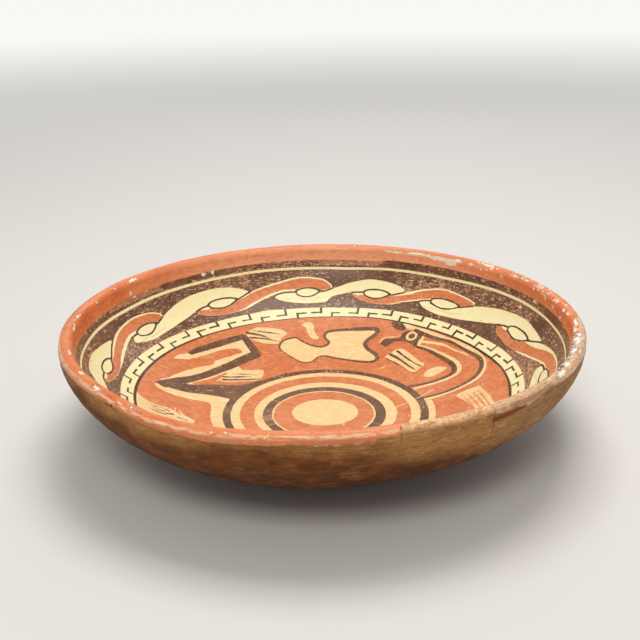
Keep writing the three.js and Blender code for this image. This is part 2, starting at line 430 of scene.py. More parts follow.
# Groups of fingers: a pale outline, and the dark lines across it with their widths
FINGERS = (
    # beside the corner of the left limb
    (((-44.5, 77.8), (-40, 83), (-33, 84.6), (-25.8, 85), (-20.6, 82.7), (-24, 78.4), (-25.4, 74.2),
      (-30, 72.7), (-38, 72.8), (-43, 75)),
     ((((-44.8, 78.2), (-36, 78.3), (-31, 76.4)), (1.7, 1.4, 0.6)),
      (((-42.4, 75.1), (-34, 76), (-25, 75.3)), (1.5, 1.0, 0.5)),
      (((-40.8, 80.8), (-31, 81.3), (-24.8, 81)), (0.7, 0.9, 0.5)))),
    # over the wedge
    (((-49.4, 44.8), (-41, 47.4), (-34, 49), (-33.6, 45), (-35.6, 39.4), (-44, 35.6), (-55.4, 31.4),
      (-56, 36)),
     ((((-55.4, 33.4), (-45, 36.8), (-35.8, 39.9)), (1.7, 1.4, 0.8)),
      (((-55.4, 36.2), (-47, 39), (-40, 41.5)), (1.4, 1.2, 0.5)),
      (((-51, 41), (-43, 42.6), (-36.9, 43.4)), (0.5, 0.9, 0.5)))),
    # inside the bent limb
    (((36.2, 58), (41, 62), (45.8, 63.4), (49.6, 59), (54.8, 49.6), (57.8, 45), (54.6, 41.6),
      (51, 39.8), (47.4, 44.8), (42.2, 52.4)),
     ((((39.6, 60.4), (44.4, 54.4), (49, 47), (52.4, 41.6)), (1.9, 1.5, 1.2, 0.8)),
      (((43.8, 61.9), (48.2, 54.6), (52.4, 48), (56, 43.2)), (1.3, 1.1, 0.9, 0.8)),
      (((36.6, 57.8), (42, 51.6), (47, 44.6)), (0.8, 1.1, 0.5)))),
    # scribbled patch, low on the left
    (((-96, -8), (-92.6, -11.8), (-88.3, -13.6), (-83.9, -13.8), (-79.3, -12.4), (-75.2, -14),
      (-71.4, -15.8), (-67.3, -16.8), (-64.6, -20.5), (-68, -27), (-76, -36), (-86, -34),
      (-94, -24), (-97.5, -14)),
     ((((-86, -17.5), (-82.4, -15.6), (-79.6, -17.2), (-82.6, -19.6), (-85.4, -18.6)),
       (0.7, 1.3, 1.0, 1.2, 0.6)),
      (((-87, -20.6), (-83.4, -22.2), (-79, -21.4), (-76.4, -18.6)), (0.6, 1.2, 1.3, 0.7)),
      (((-80.8, -15.6), (-77.4, -16.4), (-75.6, -18.8), (-78.4, -20)), (0.6, 1.3, 1.1, 0.6)),
      (((-75.2, -21.6), (-71.2, -20.2), (-68.4, -21.4)), (0.6, 1.2, 0.7)))),
)


# Worn fingers, low on the right: a pale outline, and the gaps in it where the slip shows
WORN_OUTLINE = (
    (70.6, 4.4), (81.4, 5.4), (84, -2), (85.4, -12), (85, -26), (78, -34), (76.4, -18), (73.4, -5),
)
WORN_GAPS = (
    (((72.6, 4), (75.2, -8), (77.2, -22)), (0.3, 0.8, 0.5)),
    (((75.2, 4.2), (77.6, -8), (79.4, -23)), (0.5, 1.1, 0.6)),
    (((77.8, 4.6), (80, -7), (81.6, -22)), (0.4, 1.0, 0.6)),
    (((80.2, 4.8), (82.2, -6), (83.5, -20)), (0.3, 0.9, 0.5)),
)


def fingers(p, outline, lines):
    """A group of fingers: its cream and its dark lines."""
    return area(p, outline), any_of(*[stroke(p, line, widths) for line, widths in lines])


def worn_fingers(p):
    """The worn group, whose lines show the slip."""
    lit_lip, gaps = fingers(p, WORN_OUTLINE, WORN_GAPS)
    return both(lit_lip, -gaps), np.full(len(p), -FAR)


def turned(p, degrees):
    """Places turned about the middle of the floor."""
    c, s = math.cos(math.radians(degrees)), math.sin(math.radians(degrees))
    return np.stack([p[:, 0] * c - p[:, 1] * s, p[:, 0] * s + p[:, 1] * c], -1)


NEAR_LIMBS = ((left_limb, -84), (right_limb, 80))  # repeated out of sight, each turned by degrees
NEAR_SIDE = -14  # the mm away from the middle at which they begin
MEDALLION = (1.35, -2, 53)  # place and radius of the disc's edge, which hides what runs under it


def floor_paint(x, y):
    """Cream and black of the floor."""
    p = np.stack([x, y], -1)
    parts = [left_limb(p), right_limb(p), worn_fingers(p), *[fingers(p, *group) for group in FINGERS]]
    for limb, turn in NEAR_LIMBS:
        parts.append([both(field, NEAR_SIDE - y) for field in limb(turned(p, turn))])
    off_medallion = -oval(p, *MEDALLION)
    shapes = [medallion(p), middle_figure(p)]
    shapes += [(both(cream, off_medallion), both(black, off_medallion)) for cream, black in parts]
    return any_of(*[cream for cream, _ in shapes]), any_of(*[black for _, black in shapes])


# The wall: places are an angle in degrees and a height along the clay from the middle of the floor

THIN_LINE = (
    (-180, 133.0), (-15, 134.8), (5, 134.8), (22, 135.5), (35, 135.2), (43, 134.6), (52, 134.2),
    (70, 134.4), (82, 133.4), (95, 133.8), (108, 134.1), (120, 133.7), (132, 133.5), (141, 133.4),
    (155, 132.9), (170, 133.2),
)
THIN_LINE_WIDTH = (
    (-180, 1.7), (-20, 1.1), (8, 1.2), (20, 1.7), (60, 1.6), (90, 1.7), (150, 1.9),
)
# How much lower than its paint's place the wall lies, by height, because its clay is pressed in
SUNK = ((97, 0.25), (110, 0.4), (133, 0.75), (143, 0.8))
FRET_LOW = (
    (-180, 100.2), (-15, 99.8), (8, 99.9), (20, 99.3), (50, 99.4), (72, 100), (87, 98.8),
    (106, 98.4), (125, 98.8), (150, 99.8),
)
FRET_HIGH = (
    (-180, 107.6), (0, 107.4), (20, 106.8), (26, 106.2), (50, 106.6), (68, 106.8), (85, 105.9),
    (103, 106), (108, 106.8), (116, 106), (128, 105.9), (142, 106.6), (165, 107.6),
)
FRET_MIDDLE = (
    (-180, 103.6), (5, 103.9), (16, 102.4), (39, 103.2), (60, 103.2), (87, 102), (106, 101.6),
    (125, 102.4), (150, 103.2),
)
BAND_TOP = (
    (-180, 137.8), (-60, 139.8), (70, 139.9), (73, 138.6), (100, 138.8), (140, 138.4), (160, 137.6),
)

# The eyes and the strands that pass over and under each other between them, clockwise from the left.
# An eye has its angle, half its length in degrees, and its height. The strand that starts under it
# has the height of its foot there, how far before the eye its tip lies and how high, the height of
# its top 9 degrees before the next eye and over that eye, how far past it the strand ends and how
# high. Every second strand has a red core, with cream left along its lower and its upper edge. The
# line before an eye dips by some mm more than the rest do.
Strand = namedtuple("Strand", "eye half height foot lead lead_tip rise arch tail tail_tip low high dip")
STRANDS = (
    Strand(180.6, 4.6, 117.2, 110.4, 9.0, 115.0, 126.4, 127.6, 8.5, 122.5, 1.9, 1.7, 0),
    Strand(152.9, 4.6, 117.5, 110.2, 8.3, 114.8, 127.2, 127.9, 10.3, 121.0, 0, 0, 0),
    Strand(122.7, 5.15, 117.2, 109.0, 10.0, 114.5, 126.0, 128.4, 8.0, 121.6, 1.6, 1.1, 0.5),
    Strand(94.3, 3.9, 117.4, 109.3, 11.0, 115.2, 124.2, 127.2, 8.8, 122.6, 0, 0, -0.5),
    Strand(72.0, 4.35, 117.3, 110.4, 8.0, 116.4, 124.8, 127.7, 10.0, 124.0, 1.0, 2.0, 0.3),
    Strand(48.5, 5.3, 118.0, 110.0, 8.8, 116.3, 127.2, 128.0, 12.0, 124.3, 0, 0, 1.7),
    Strand(16.4, 5.6, 118.6, 110.2, 10.5, 118.2, 127.4, 128.2, 9.0, 122.5, 1.0, 3.6, 0.6),
    Strand(-14.0, 5.0, 118.6, 110.0, 9.0, 116.0, 126.0, 127.0, 9.0, 122.5, 0, 0, 0),
)
HIDDEN_EYES = 6  # on the near side
EYE_COUNT = len(STRANDS) + HIDDEN_EYES
WALL_RADIUS = 113.0  # of the strands, on average
MM_PER_DEGREE = math.radians(1) * WALL_RADIUS
EYE_DEPTH = 2.65  # half of it, in mm
EYE_LEAN = 0.16  # how far its lower edge is fuller to the left, as a share of half its length
OUTLINE = 1.05  # dark line round an eye
PARTING = 0.58  # half of the dark line between two strands
# How the line between two strands rises and falls, in mm from the middle of the eye on it
PARTING_PLACES = (-45, -36, -28, -21, -14, -10, 0, 10, 13, 17, 20, 26)
PARTING_HEIGHTS = (-8, -5.6, -3.0, -0.9, 0.6, 0.75, 0, 0.6, 1.6, 3.2, 4.5, 7)
DIP_PLACES = (-45, -26, -18, -8)
DIP_SHARES = (0.6, 1, 1, 0)


def round_bowl(a, places):
    """A value between listed ones, round the bowl and back."""
    t = np.array(sorted(places), float)
    return np.interp(a, t[:, 0], t[:, 1], period=360)


def eased(x, xs, ys):
    """A smooth curve through points, which never swings past them."""
    xs, ys = np.array(xs, float), np.array(ys, float)
    h = np.diff(xs)
    d = np.diff(ys) / h
    m = np.zeros(len(xs))
    same = d[:-1] * d[1:] > 0
    m[1:-1][same] = (2 * d[:-1] * d[1:] / (d[:-1] + d[1:] + 1e-12))[same]
    m[0], m[-1] = 1.6 * d[0], 1.6 * d[-1]
    i = np.clip(np.searchsorted(xs, x) - 1, 0, len(h) - 1)
    t = (x - xs[i]) / h[i]
    return (ys[i] * (1 + 2 * t) * (1 - t) ** 2 + ys[i + 1] * t * t * (3 - 2 * t)
            + h[i] * (m[i] * t * (1 - t) ** 2 - m[i + 1] * t * t * (1 - t)))


def strand(k):
    """A strand, counted clockwise. Evenly spaced ones on the near side repeat those that show."""
    lap, place = divmod(k, EYE_COUNT)
    like = STRANDS[place % len(STRANDS)]
    angle = like.eye
    if place >= len(STRANDS):
        step = (STRANDS[-1].eye - STRANDS[0].eye + 360) / (HIDDEN_EYES + 1)
        angle = STRANDS[-1].eye - step * (place - len(STRANDS) + 1)
    return like._replace(eye=angle - 360 * lap)


def parting(x, dip):
    """Height of the line between two strands, in mm from the middle of the eye on it."""
    fall = dip * np.interp(x, DIP_PLACES, DIP_SHARES)
    return eased(np.array(x, float), PARTING_PLACES, PARTING_HEIGHTS) - fall


def eyes_and_partings(a, s):
    """Inside the eyes, above the line between the strands at each, and within that line's run."""
    eye = np.full(len(a), -FAR)
    above = np.full(len(a), FAR)
    beside = np.full(len(a), -FAR)
    for k in range(EYE_COUNT):
        here = strand(k)
        x = -((a - here.eye + 180) % 360 - 180) * MM_PER_DEGREE
        y = s - here.height - parting(np.clip(x, PARTING_PLACES[0], PARTING_PLACES[-1]), here.dip)
        half = here.half * MM_PER_DEGREE
        bow = (half**2 + EYE_DEPTH**2) / (2 * EYE_DEPTH)
        upper = bow - np.hypot(x, y + bow - EYE_DEPTH)
        lower = bow - np.hypot(x + EYE_LEAN * half, y - bow + EYE_DEPTH)
        eye = np.maximum(eye, both(upper, lower, x + 0.9 * half + 0.25 * y))
        reach = both(x + here.lead * MM_PER_DEGREE, strand(k - 1).tail * MM_PER_DEGREE - x)
        close = (reach > -3) & (np.abs(y) < FAR)
        above[close], beside[close] = y[close], reach[close]
    return eye, above, beside


# Where the edges of a strand follow the line at an eye, in mm from that eye
TOP_FOLLOWS = np.array((-12, -6, 0, 6, 12, 17, 20))
FOOT_FOLLOWS = np.array((-28, -21, -14, -7, 0, 7, 12, 18, 24))
OVERLAP = 0.3  # mm by which the edges reach under that line
SLOPE_STEP = 0.5  # degrees over which an edge's slope is taken


def strand_edges(this, following):
    """A strand's foot and its top: places in degrees clockwise from its eye, and heights."""
    span = this.eye - following.eye
    foot_places = (-this.lead, -0.72 * this.lead, -0.38 * this.lead, 0, 5.5,
                   *span + FOOT_FOLLOWS / MM_PER_DEGREE)
    feet = (this.lead_tip, this.foot + 2.5, this.foot + 0.9, this.foot, this.foot + 0.6,
            *following.height + parting(FOOT_FOLLOWS, following.dip) + OVERLAP)
    top_places = (-this.lead, 1.4 - this.lead, *TOP_FOLLOWS / MM_PER_DEGREE,
                  span - 9, span - 2, span + 4, span + this.tail)
    tops = (this.lead_tip, this.height + 0.2, *this.height + parting(TOP_FOLLOWS, this.dip) - OVERLAP,
            this.rise, this.arch, this.arch - 1.3, this.tail_tip)
    return (foot_places, feet), (top_places, tops)


def above_curve(u, height, curve):
    """How far each place lies above a curve, square to it, in mm."""
    level = eased(u, *curve)
    slope = (eased(u + SLOPE_STEP, *curve) - level) / (SLOPE_STEP * MM_PER_DEGREE)
    return (height - level) / np.hypot(1, slope)


def guilloche(a, s):
    """Cream and red of the strands."""
    cream = np.full(len(a), -FAR)
    red = np.full(len(a), -FAR)
    for k in range(EYE_COUNT):
        this, following = strand(k), strand(k + 1)
        span = this.eye - following.eye
        u = (this.eye + this.lead - a) % 360 - this.lead
        here = np.nonzero(u < span + this.tail)[0]
        u = u[here]
        foot, top = strand_edges(this, following)
        over, under = above_curve(u, s[here], foot), -above_curve(u, s[here], top)
        ends = both((span + this.tail - u) * MM_PER_DEGREE, (u + this.lead) * MM_PER_DEGREE + 0.4)
        cream[here] = np.maximum(cream[here], both(over, under, ends))
        if this.low:
            low = this.low * np.interp(u, (3, 9, span - 4, span + 3), (0.1, 1, 1, 0.2))
            high = np.interp(u, (-this.lead, -6, -3, 4, 11, span - 9, span + 6),
                             (0.2, 2.2, 0.5, 0.4, this.high, 1.3, 0.9))
            red[here] = np.maximum(red[here], both(over - low, under - high, ends - 1))
    return cream, red


# The fret: the angles of its bends, clockwise from the left, and the sizes of its lines in mm
FRET_RADIUS = 98.0
FRET_HALF_WIDTH = 0.72
FRET_HALF_BEAM = 0.54
FRET_BENDS = (
    189, 176, 163.1, 150.4, 137.5, 125, 112.4, 99.2, 86.8, 73.5, 61.7, 50, 38.9, 27.2, 16.3, 5.1,
    -6,
)
FRET_HIDDEN = 13  # bends on the near side, evenly spaced
FRET_JOIN = -100.0  # where the count of bends ends, out of sight
UNDER_FRET = (
    (-180, 1.7), (-60, 1.7), (-10, 1.7), (5, 1.1), (18, 1.5), (50, 1.1), (66, 0.8), (95, 0.6),
    (112, 0.7), (130, 0.9), (152, 1.3),
)


def fret_bends(a):
    """How many bends of the fret lie before each angle, clockwise, and the length of one in mm."""
    step = (FRET_BENDS[-1] - FRET_BENDS[0] + 360) / FRET_HIDDEN
    places = np.array([FRET_BENDS[0] + step * i for i in range(7, 0, -1)] + list(FRET_BENDS)
                      + [FRET_BENDS[-1] - step * i for i in range(1, 9)])
    a = np.where(a < FRET_JOIN, a + 360, a)
    bends = np.interp(-a, -places, np.arange(len(places)))
    lengths = -np.diff(places) * math.radians(1) * FRET_RADIUS
    return bends, lengths[np.clip(bends.astype(int), 0, len(lengths) - 1)]


def wall_paint(a, s):
    """Fields of the bands up the wall. The shader draws the thin lines between them."""
    s = s + np.interp(s, *zip(*SUNK))
    low, high = round_bowl(a, FRET_LOW), round_bowl(a, FRET_HIGH)
    line, half = round_bowl(a, THIN_LINE), round_bowl(a, THIN_LINE_WIDTH) / 2
    strands, red = guilloche(a, s)
    eye, above, beside = eyes_and_partings(a, s)
    bends, long = fret_bends(a)
    return {
        "strands": strands,
        "red": red,
        "ground": both(s - high, round_bowl(a, BAND_TOP) - s),
        "eye": eye,
        "above_parting": above,
        "beside_parting": beside,
        "above_line": s - line + half,
        "below_line": line + half - s,
        "bends": bends,
        "bend_length": long,
        "above_fret": s - low,
        "above_middle": s - round_bowl(a, FRET_MIDDLE),
        "below_fret": high - s,
        "above_edge": s - low + round_bowl(a, UNDER_FRET),
    }


# How worn the black is round the bowl, from 0 to 1: under the lip, and in the upper and lower ground
BAND_WEAR = (
    (-170, 0.6), (-15, 0.6), (0, 0.6), (4, 0.15), (11, 0.15), (14, 0.75), (30, 0.6), (45, 0.45),
    (58, 0.2), (70, 0.2), (73, 1.4), (88, 1.2), (94, 0.9), (110, 0.75), (122, 0.3), (136, 0.2),
    (139.5, 0.1), (141, 1.3), (158, 1.1), (172, 0.6),
)
UPPER_WEAR = (
    (-170, 0.6), (-10, 0.6), (5, 0.45), (9, 0.2), (13, 0.1), (15, 0.65), (24, 0.8), (31, 0.5),
    (40, 0.6), (50, 0.8), (62, 0.7), (68, 0.15), (85, 0.2), (92, 0.5), (102, 0.55), (112, 0.7),
    (125, 0.8), (137, 0.4), (150, 0.5), (160, 0.2), (172, 0.4), (180, 0.7),
)
LOWER_WEAR = (
    (-170, 0.5), (-10, 0.9), (5, 0.8), (18, 0.3), (30, 0.2), (45, 0.35), (60, 0.3), (75, 0.3),
    (85, 0.5), (94, 0.4), (100, 0.25), (115, 0.3), (132, 0.45), (140, 0.5), (150, 0.6), (165, 0.8),
    (172, 0.6), (178, 0.35),
)


# Worn spots of the floor: a place, a size in mm, and how worn its middle is
FLOOR_WEAR = (
    (-21, 57, 9, 0.5), (5, 50, 8, 0.5), (-30, 44, 8, 0.3), (30, 46, 9, 0.3), (78, -6, 10, 0.7),
    (-80, -16, 12, 0.6), (52, 2, 6, 0.5), (-26, 14, 6, 0.3), (-25, 56, 7, 0.7), (90, 4, 6, 0.8),
    (-28, -8, 8, 0.7), (-50, 0, 7, 0.4),
)
EVEN_WEAR = 0.14  # of the rest of the floor
FLOOR_END = 97  # height along the clay where the floor's paint ends
WALL_START = 98  # where the wall's begins
EYE_LEVEL, BAND_START = 118, 134.5  # heights that part the lower, the upper and the topmost black


def wear(a, s, x, y):
    """How worn the paint is at each place, from 0 up to 1.4, where hardly any is left."""
    lower, upper, band = [round_bowl(a, table) for table in (LOWER_WEAR, UPPER_WEAR, BAND_WEAR)]
    wall = np.where(s > BAND_START, band, np.where(s > EYE_LEVEL, upper, lower))
    floor = np.full(len(a), EVEN_WEAR)
    for px, py, size, amount in FLOOR_WEAR:
        floor += amount * np.exp(-((x - px) ** 2 + (y - py) ** 2) / size**2)
    return np.where(s > FLOOR_END, wall, floor)


LIP_START, LIP_END = 143.5, 155.0  # heights along the clay where the half-round lip starts and ends
LIP_BAND = 138.0  # height where the deeper red under the lip starts
DEGREE = math.radians(1) * RIM_RADIUS  # mm along the lip

# Patches on the wall and the lip: an angle, a height along the clay, half a length in degrees and half
# a depth in mm

# Where paint and slip are gone down to the pale ground
LOSSES = (
    (149.2, 146.6, 2.0, 1.0), (151.4, 139.6, 0.5, 1.3), (184.6, 145.2, 1.4, 1.0),
    (178, 146.8, 1.6, 0.6), (125.6, 137, 0.8, 1.3), (122.7, 137.2, 0.6, 1.3), (68, 145, 3.6, 0.7),
    (61, 145.4, 4.0, 1.1), (54.6, 144.4, 3.4, 1.5), (51, 143.6, 2.2, 2.2), (48.6, 145.6, 1.6, 1.2),
    (44.2, 145.4, 0.8, 0.8), (39, 148, 2.2, 1.4), (28.6, 146.8, 1.2, 1.0), (24, 147.2, 1.4, 0.6),
    (19.6, 146.8, 1.4, 0.6), (18, 138.4, 0.8, 0.9), (13.4, 147, 1.0, 0.8), (9, 142, 0.7, 0.9),
    (3.2, 140.4, 0.8, 0.9), (2.2, 145.8, 0.9, 0.9), (-0.6, 146.6, 1.3, 1.1),
    (-6.6, 148.2, 1.9, 1.1), (-10.8, 146.4, 1.3, 1.5), (-12.2, 143.4, 0.9, 1.5),
    (22.6, 131.6, 0.5, 0.9), (15, 144.6, 0.8, 0.6), (33, 143.4, 0.6, 0.6), (-7.2, 148.8, 1.2, 1.0),
    (-16.2, 150.9, 1.1, 0.9), (-23.5, 151.7, 1.3, 1.0), (-31.8, 149.9, 1.4, 1.6),
    (-36.2, 151.5, 1.7, 1.6), (-128, 150, 1.3, 0.7), (-138.8, 150.8, 1.3, 1.3),
    (-147, 149, 1.4, 0.8), (-110, 152.2, 0.4, 0.4), (-106.8, 151.4, 0.5, 0.4),
    (-159, 147.6, 1.2, 0.8),
)
# Where the clay under them is gone as well, pressed in and darkened with painted shade
HOLLOWS = (
    (-14.2, 145.4, 0.5, 0.7), (-20, 145.3, 1.0, 0.9), (-26.4, 146.2, 0.9, 0.9),
    (-33.2, 147.8, 1.2, 1.1), (-40.2, 147.6, 1.6, 0.5), (-134.3, 155.0, 1.1, 0.35),
    (-132.6, 154.6, 0.3, 0.7),
)

# Pale strokes on the wall and the lip, and on the floor, each with its widths
WALL_SCRATCHES = (
    (((-93, 156.2), (-88.6, 156.6), (-83, 155.4)), (0.1, 0.4, 0.1)),
    (((-99.3, 151), (-100.2, 153.4)), (0.6, 0.5)),
    (((-121.5, 152.4), (-117.8, 151.6)), (0.5, 0.9, 0.4)),
    (((-131.8, 150.8), (-129.6, 152.0)), (0.6, 1.1, 0.5)),
)
FLOOR_SCRATCHES = (
    (((44.2, -7.2), (48.4, -9.4)), (0.8, 1.0, 0.7)),
    (((-84.2, -14.2), (-80.6, -16.8), (-77.6, -17.6), (-74.4, -15.4)), (0.8, 1.4, 1.4, 0.7)),
    (((-77.8, -13.4), (-75.8, -16.6), (-72.4, -18.2), (-69.6, -20.4)), (0.7, 1.5, 1.5, 0.8)),
    (((-73.6, -11.4), (-71, -15.6), (-67.4, -18.6)), (0.8, 1.5, 1.2)),
    (((-89, -18.2), (-84.6, -20.6), (-80.4, -19.4)), (0.7, 1.3, 0.7)),
    (((-79, -22.4), (-74.8, -20.4), (-72, -23.6)), (0.7, 1.3, 0.7)),
    (((-76.4, -8.6), (-75.2, -12.6), (-77, -16.2)), (0.4, 0.7, 0.5)),
    (((31.8, 48.4), (36.6, 50.6)), (0.5, 0.8, 0.4)),
    (((-41, 12.6), (-36.4, 10.8)), (0.4, 0.8, 0.4)),
    (((8, -16.4), (13, -15.9)), (0.7, 1.1, 0.6)),
)
# Where the filler of the long break shows on the floor
MEND_LINE = ((36.8, 2.6), (39, 3.8), (47.6, 9.9), (52.3, 13), (59, 17.2), (60.4, 20.4))
MEND_WIDTHS = (2.0, 2.0)


def patches(a, s, table):
    """Inside any of a table's patches."""
    out = np.full(len(a), -FAR)
    for angle, height, across, deep in table:
        x = ((a - angle + 180) % 360 - 180) * DEGREE
        field = oval(np.stack([x, s], -1), 0, height, across * DEGREE, deep)
        out = np.maximum(out, field)
    return out


def wall_stroke(a, s, line, widths):
    """Inside a stroke on the wall or the lip, through places of an angle and a height."""
    places = [(angle * DEGREE, height) for angle, height in line]
    return stroke(np.stack([a * DEGREE, s], -1), places, widths)


def floor_stroke(s, x, y, line, widths):
    """Inside a stroke on the floor."""
    return np.where(s < WALL_START, stroke(np.stack([x, y], -1), line, widths), -FAR)


def scratches(a, s, x, y):
    """Inside the pale scratches of the wall and the floor."""
    marks = [wall_stroke(a, s, *scratch) for scratch in WALL_SCRATCHES]
    marks += [floor_stroke(s, x, y, *scratch) for scratch in FLOOR_SCRATCHES]
    return any_of(*marks)


# Depth of the tan clay below the lip round the bowl, and its share of the right side's smooth beige
TAN_DEPTH = (
    (-180, 6), (-150, 3.5), (-120, 3.5), (-100, 4), (-88, 4), (-80, 7), (-72, 14), (-58.6, 19),
    (-57.8, 22), (-45, 28), (-20, 32), (0, 20), (40, 10), (90, 7), (140, 6),
)
BEIGE = ((-180, 0), (-62, 0.2), (-58.4, 0.4), (-57.9, 1), (-30, 1), (-14, 0.6), (2, 0.3), (25, 0))
# How pale painted light makes the red of the lip round the bowl, most on the far side
LIP_PAINTED_LIGHT = (
    (-180, 0), (-155, 0.1), (-80, 0.15), (-30, 0), (0, 0.05), (30, 0.4), (60, 0.95), (90, 1),
    (120, 0.85), (150, 0.25), (175, 0),
)
# How thickly small white chips lie along the lip
CHIPPED = (
    (-180, 0.2), (-160, 0.12), (-80, 0.06), (-36, 0.05), (-14, 0.25), (0, 0.4), (46, 0.34),
    (54, 0.08), (66, 0.03), (150, 0.04), (160, 0.16),
)
# The crease that runs under the toned lip, darkened with painted shade
CREASE_LINE = ((-57.8, 157.4), (-53, 156.7), (-48, 156.0), (-44.5, 155.3))
CREASE_WIDTHS = (2.4, 2.0, 1.4, 0.4)
NO_END = math.inf  # the height of a stretch that goes on to the end of the clay


def weathered(a, s):
    """Where the lip is bare, toned or made good, and the zones of the clay outside."""
    def stretch(start, end, low, high):
        """Inside some degrees and some heights."""
        return both((a - start) * DEGREE, (end - a) * DEGREE, s - low, high - s)

    return {
        "bare": stretch(-76.6, -57.6, 146.5, NO_END),
        "toned": stretch(-57.8, -35.6, 146, 159),
        "dulled": stretch(-54, -40.5, 152.6, 156),
        "crease": wall_stroke(a, s, CREASE_LINE, CREASE_WIDTHS),
        "filled": stretch(-36.4, -4, 149.6, NO_END),
        "plaster": stretch(-36.4, -13.5, 138.5, 149.8),
        "tan": round_bowl(a, TAN_DEPTH) - (s - LIP_END),
        "beige": round_bowl(a, BEIGE),
        "lip_pale": round_bowl(a, LIP_PAINTED_LIGHT),
        "chipped": round_bowl(a, CHIPPED) * np.clip((s - 141) / 4, 0, 1),
        "hollow": patches(a, s, HOLLOWS),
        "crack": any_of(both(s - 149.5, 152.5 - s, -72 - a), both(s - 157, 165 - s, a + 62)),
    }


def paint_fields(a, s, x, y):
    """Every painted distance, and the wear, by name."""
    inside = s < LIP_START
    cream, black = floor_paint(x, y)
    return {
        "cream": np.where(inside, cream, -FAR),
        "black": np.where(inside, black, -FAR),
        **{name: np.where(inside | name.startswith("bend"), field, -FAR)
           for name, field in wall_paint(a, s).items()},
        "lost": patches(a, s, LOSSES),
        "scratched": scratches(a, s, x, y),
        "mend": floor_stroke(s, x, y, MEND_LINE, MEND_WIDTHS),
        "wear": wear(a, s, x, y),
        **weathered(a, s),
    }


# The clay


def lumps(p, size, seed):
    """Smooth noise from -1 to 1, with lumps of about a given size."""
    q = p / size + np.array([17.3, 5.1, 41.7]) * seed
    base = np.floor(q)
    t = q - base
    t = t * t * (3 - 2 * t)
    total = np.zeros(len(p))
    for corner in np.ndindex(2, 2, 2):
        c = base + corner
        value = np.sin(c @ np.array([127.1, 311.7, 74.7])) * 43758.5453
        weight = np.prod(np.where(corner, t, 1 - t), axis=1)
        total += weight * (2 * (value - np.floor(value)) - 1)
    return total


SECTION_STEPS = 900
LIP_STEPS = 60
NORMAL_STEP = 0.5  # mm along the clay over which its direction is taken


def section(shape):
    """Radius, height and length along the clay, from the floor's middle over the lip down."""
    top = shape.height - shape.wall / 2
    reach = shape.rim_radius - shape.base_radius
    t = np.linspace(0, 1, SECTION_STEPS)[:, None]
    ends = np.array([
        (shape.base_radius, 0),
        (shape.base_radius + shape.foot_fullness * reach, 0),
        (shape.rim_radius, (1 - shape.wall_fullness) * top),
        (shape.rim_radius, top),
    ])
    weights = np.hstack([(1 - t) ** 3, 3 * t * (1 - t) ** 2, 3 * t * t * (1 - t), t**3])
    outer = weights @ ends
    slope = np.gradient(outer, axis=0)
    slope /= np.hypot(*slope.T)[:, None]
    inner = outer + shape.wall * np.stack([-slope[:, 1], slope[:, 0]], -1)
    turn = np.linspace(math.pi, 0, LIP_STEPS)[1:-1]
    lip = np.stack([shape.rim_radius - shape.wall / 2 + shape.wall / 2 * np.cos(turn),
                    top + shape.wall / 2 * np.sin(turn)], -1)
    line = np.vstack([(0, shape.wall), inner, lip, outer[::-1], (0, 0)])
    along = np.concatenate([[0], np.cumsum(np.hypot(*np.diff(line, axis=0).T))])
    return line[:, 0], line[:, 1], along


def section_normal(r, z, along, at):
    """The clay's outward direction, across and up, at a length along the section."""
    before, after = at - NORMAL_STEP, at + NORMAL_STEP
    dr = np.interp(after, along, r) - np.interp(before, along, r)
    dz = np.interp(after, along, z) - np.interp(before, along, z)
    size = np.hypot(dr, dz) + 1e-9
    return -dz / size, dr / size


PLAIN_FLOOR = 40  # mm from the floor's middle with nothing fine on them
UNDERSIDE = 42  # mm round the middle of the base


def ring_places(shape, along):
    """Lengths along the section of the mesh's rings, with the spacing round each."""
    rim = shape.grain
    under_lip, bare, base = LIP_END + 4, LIP_END + 16, along[-1] - UNDERSIDE
    zones = (
        (0, PLAIN_FLOOR, 1.5 * rim),
        (PLAIN_FLOOR, under_lip, rim),
        (under_lip, bare, 1.5 * rim),
        (bare, base, shape.coarse_grain),
        (base, along[-1], 4 * rim),
    )
    places, spacing = [], []
    for start, end, step in zones:
        count = max(1, round((end - start) / step))
        places += [start + (end - start) * i / count for i in range(count)]
        spacing += [step] * count
    return np.array(places[1:]), np.array(spacing[1:])


def stitch(first, inner, second, outer):
    """Triangles between two rings whose points start at the same angle."""
    faces = []
    i = j = 0
    while i < inner or j < outer:
        if j == outer or (i < inner and (i + 1) * outer <= (j + 1) * inner):
            faces.append((first + i, second + j % outer, first + (i + 1) % inner))
            i += 1
        else:
            faces.append((first + i % inner, second + j, second + (j + 1) % outer))
            j += 1
    return faces


def whole_bowl(shape, groove):
    """The whole bowl, before it broke: points in mm and triangles."""
    r, z, along = section(shape)
    places, spacing = ring_places(shape, along)
    points = [np.array([[0, 0, shape.wall]])]
    lengths = [np.zeros(1)]
    faces = []
    start, count = 0, 1
    total = 1
    for place, step in zip(places, spacing):
        radius = np.interp(place, along, r)
        here = max(12, round(2 * math.pi * radius / step))
        angle = 2 * math.pi * np.arange(here) / here
        height = np.full(here, np.interp(place, along, z))
        points.append(np.stack([radius * np.cos(angle), radius * np.sin(angle), height], -1))
        lengths.append(np.full(here, place))
        if count == 1:
            faces += [(0, total + i, total + (i + 1) % here) for i in range(here)]
        else:
            faces += stitch(start, count, total, here)
        start, count = total, here
        total += here
    points.append(np.array([[0, 0, 0]]))
    lengths.append(np.full(1, along[-1]))
    faces += [(start + i, total, start + (i + 1) % count) for i in range(count)]
    points, lengths = np.vstack(points), np.concatenate(lengths)
    return uneven(shape, points, lengths, (r, z, along), groove), np.array(faces)


def bumps(points, size, seed):
    """Smooth noise from 0 to 1."""
    return 0.5 + 0.5 * lumps(points, size, seed)


def window(value, low, high, soft):
    """1 between two values, falling to 0 over a soft margin."""
    return np.clip((value - low) / soft + 0.5, 0, 1) * np.clip((high - value) / soft + 0.5, 0, 1)


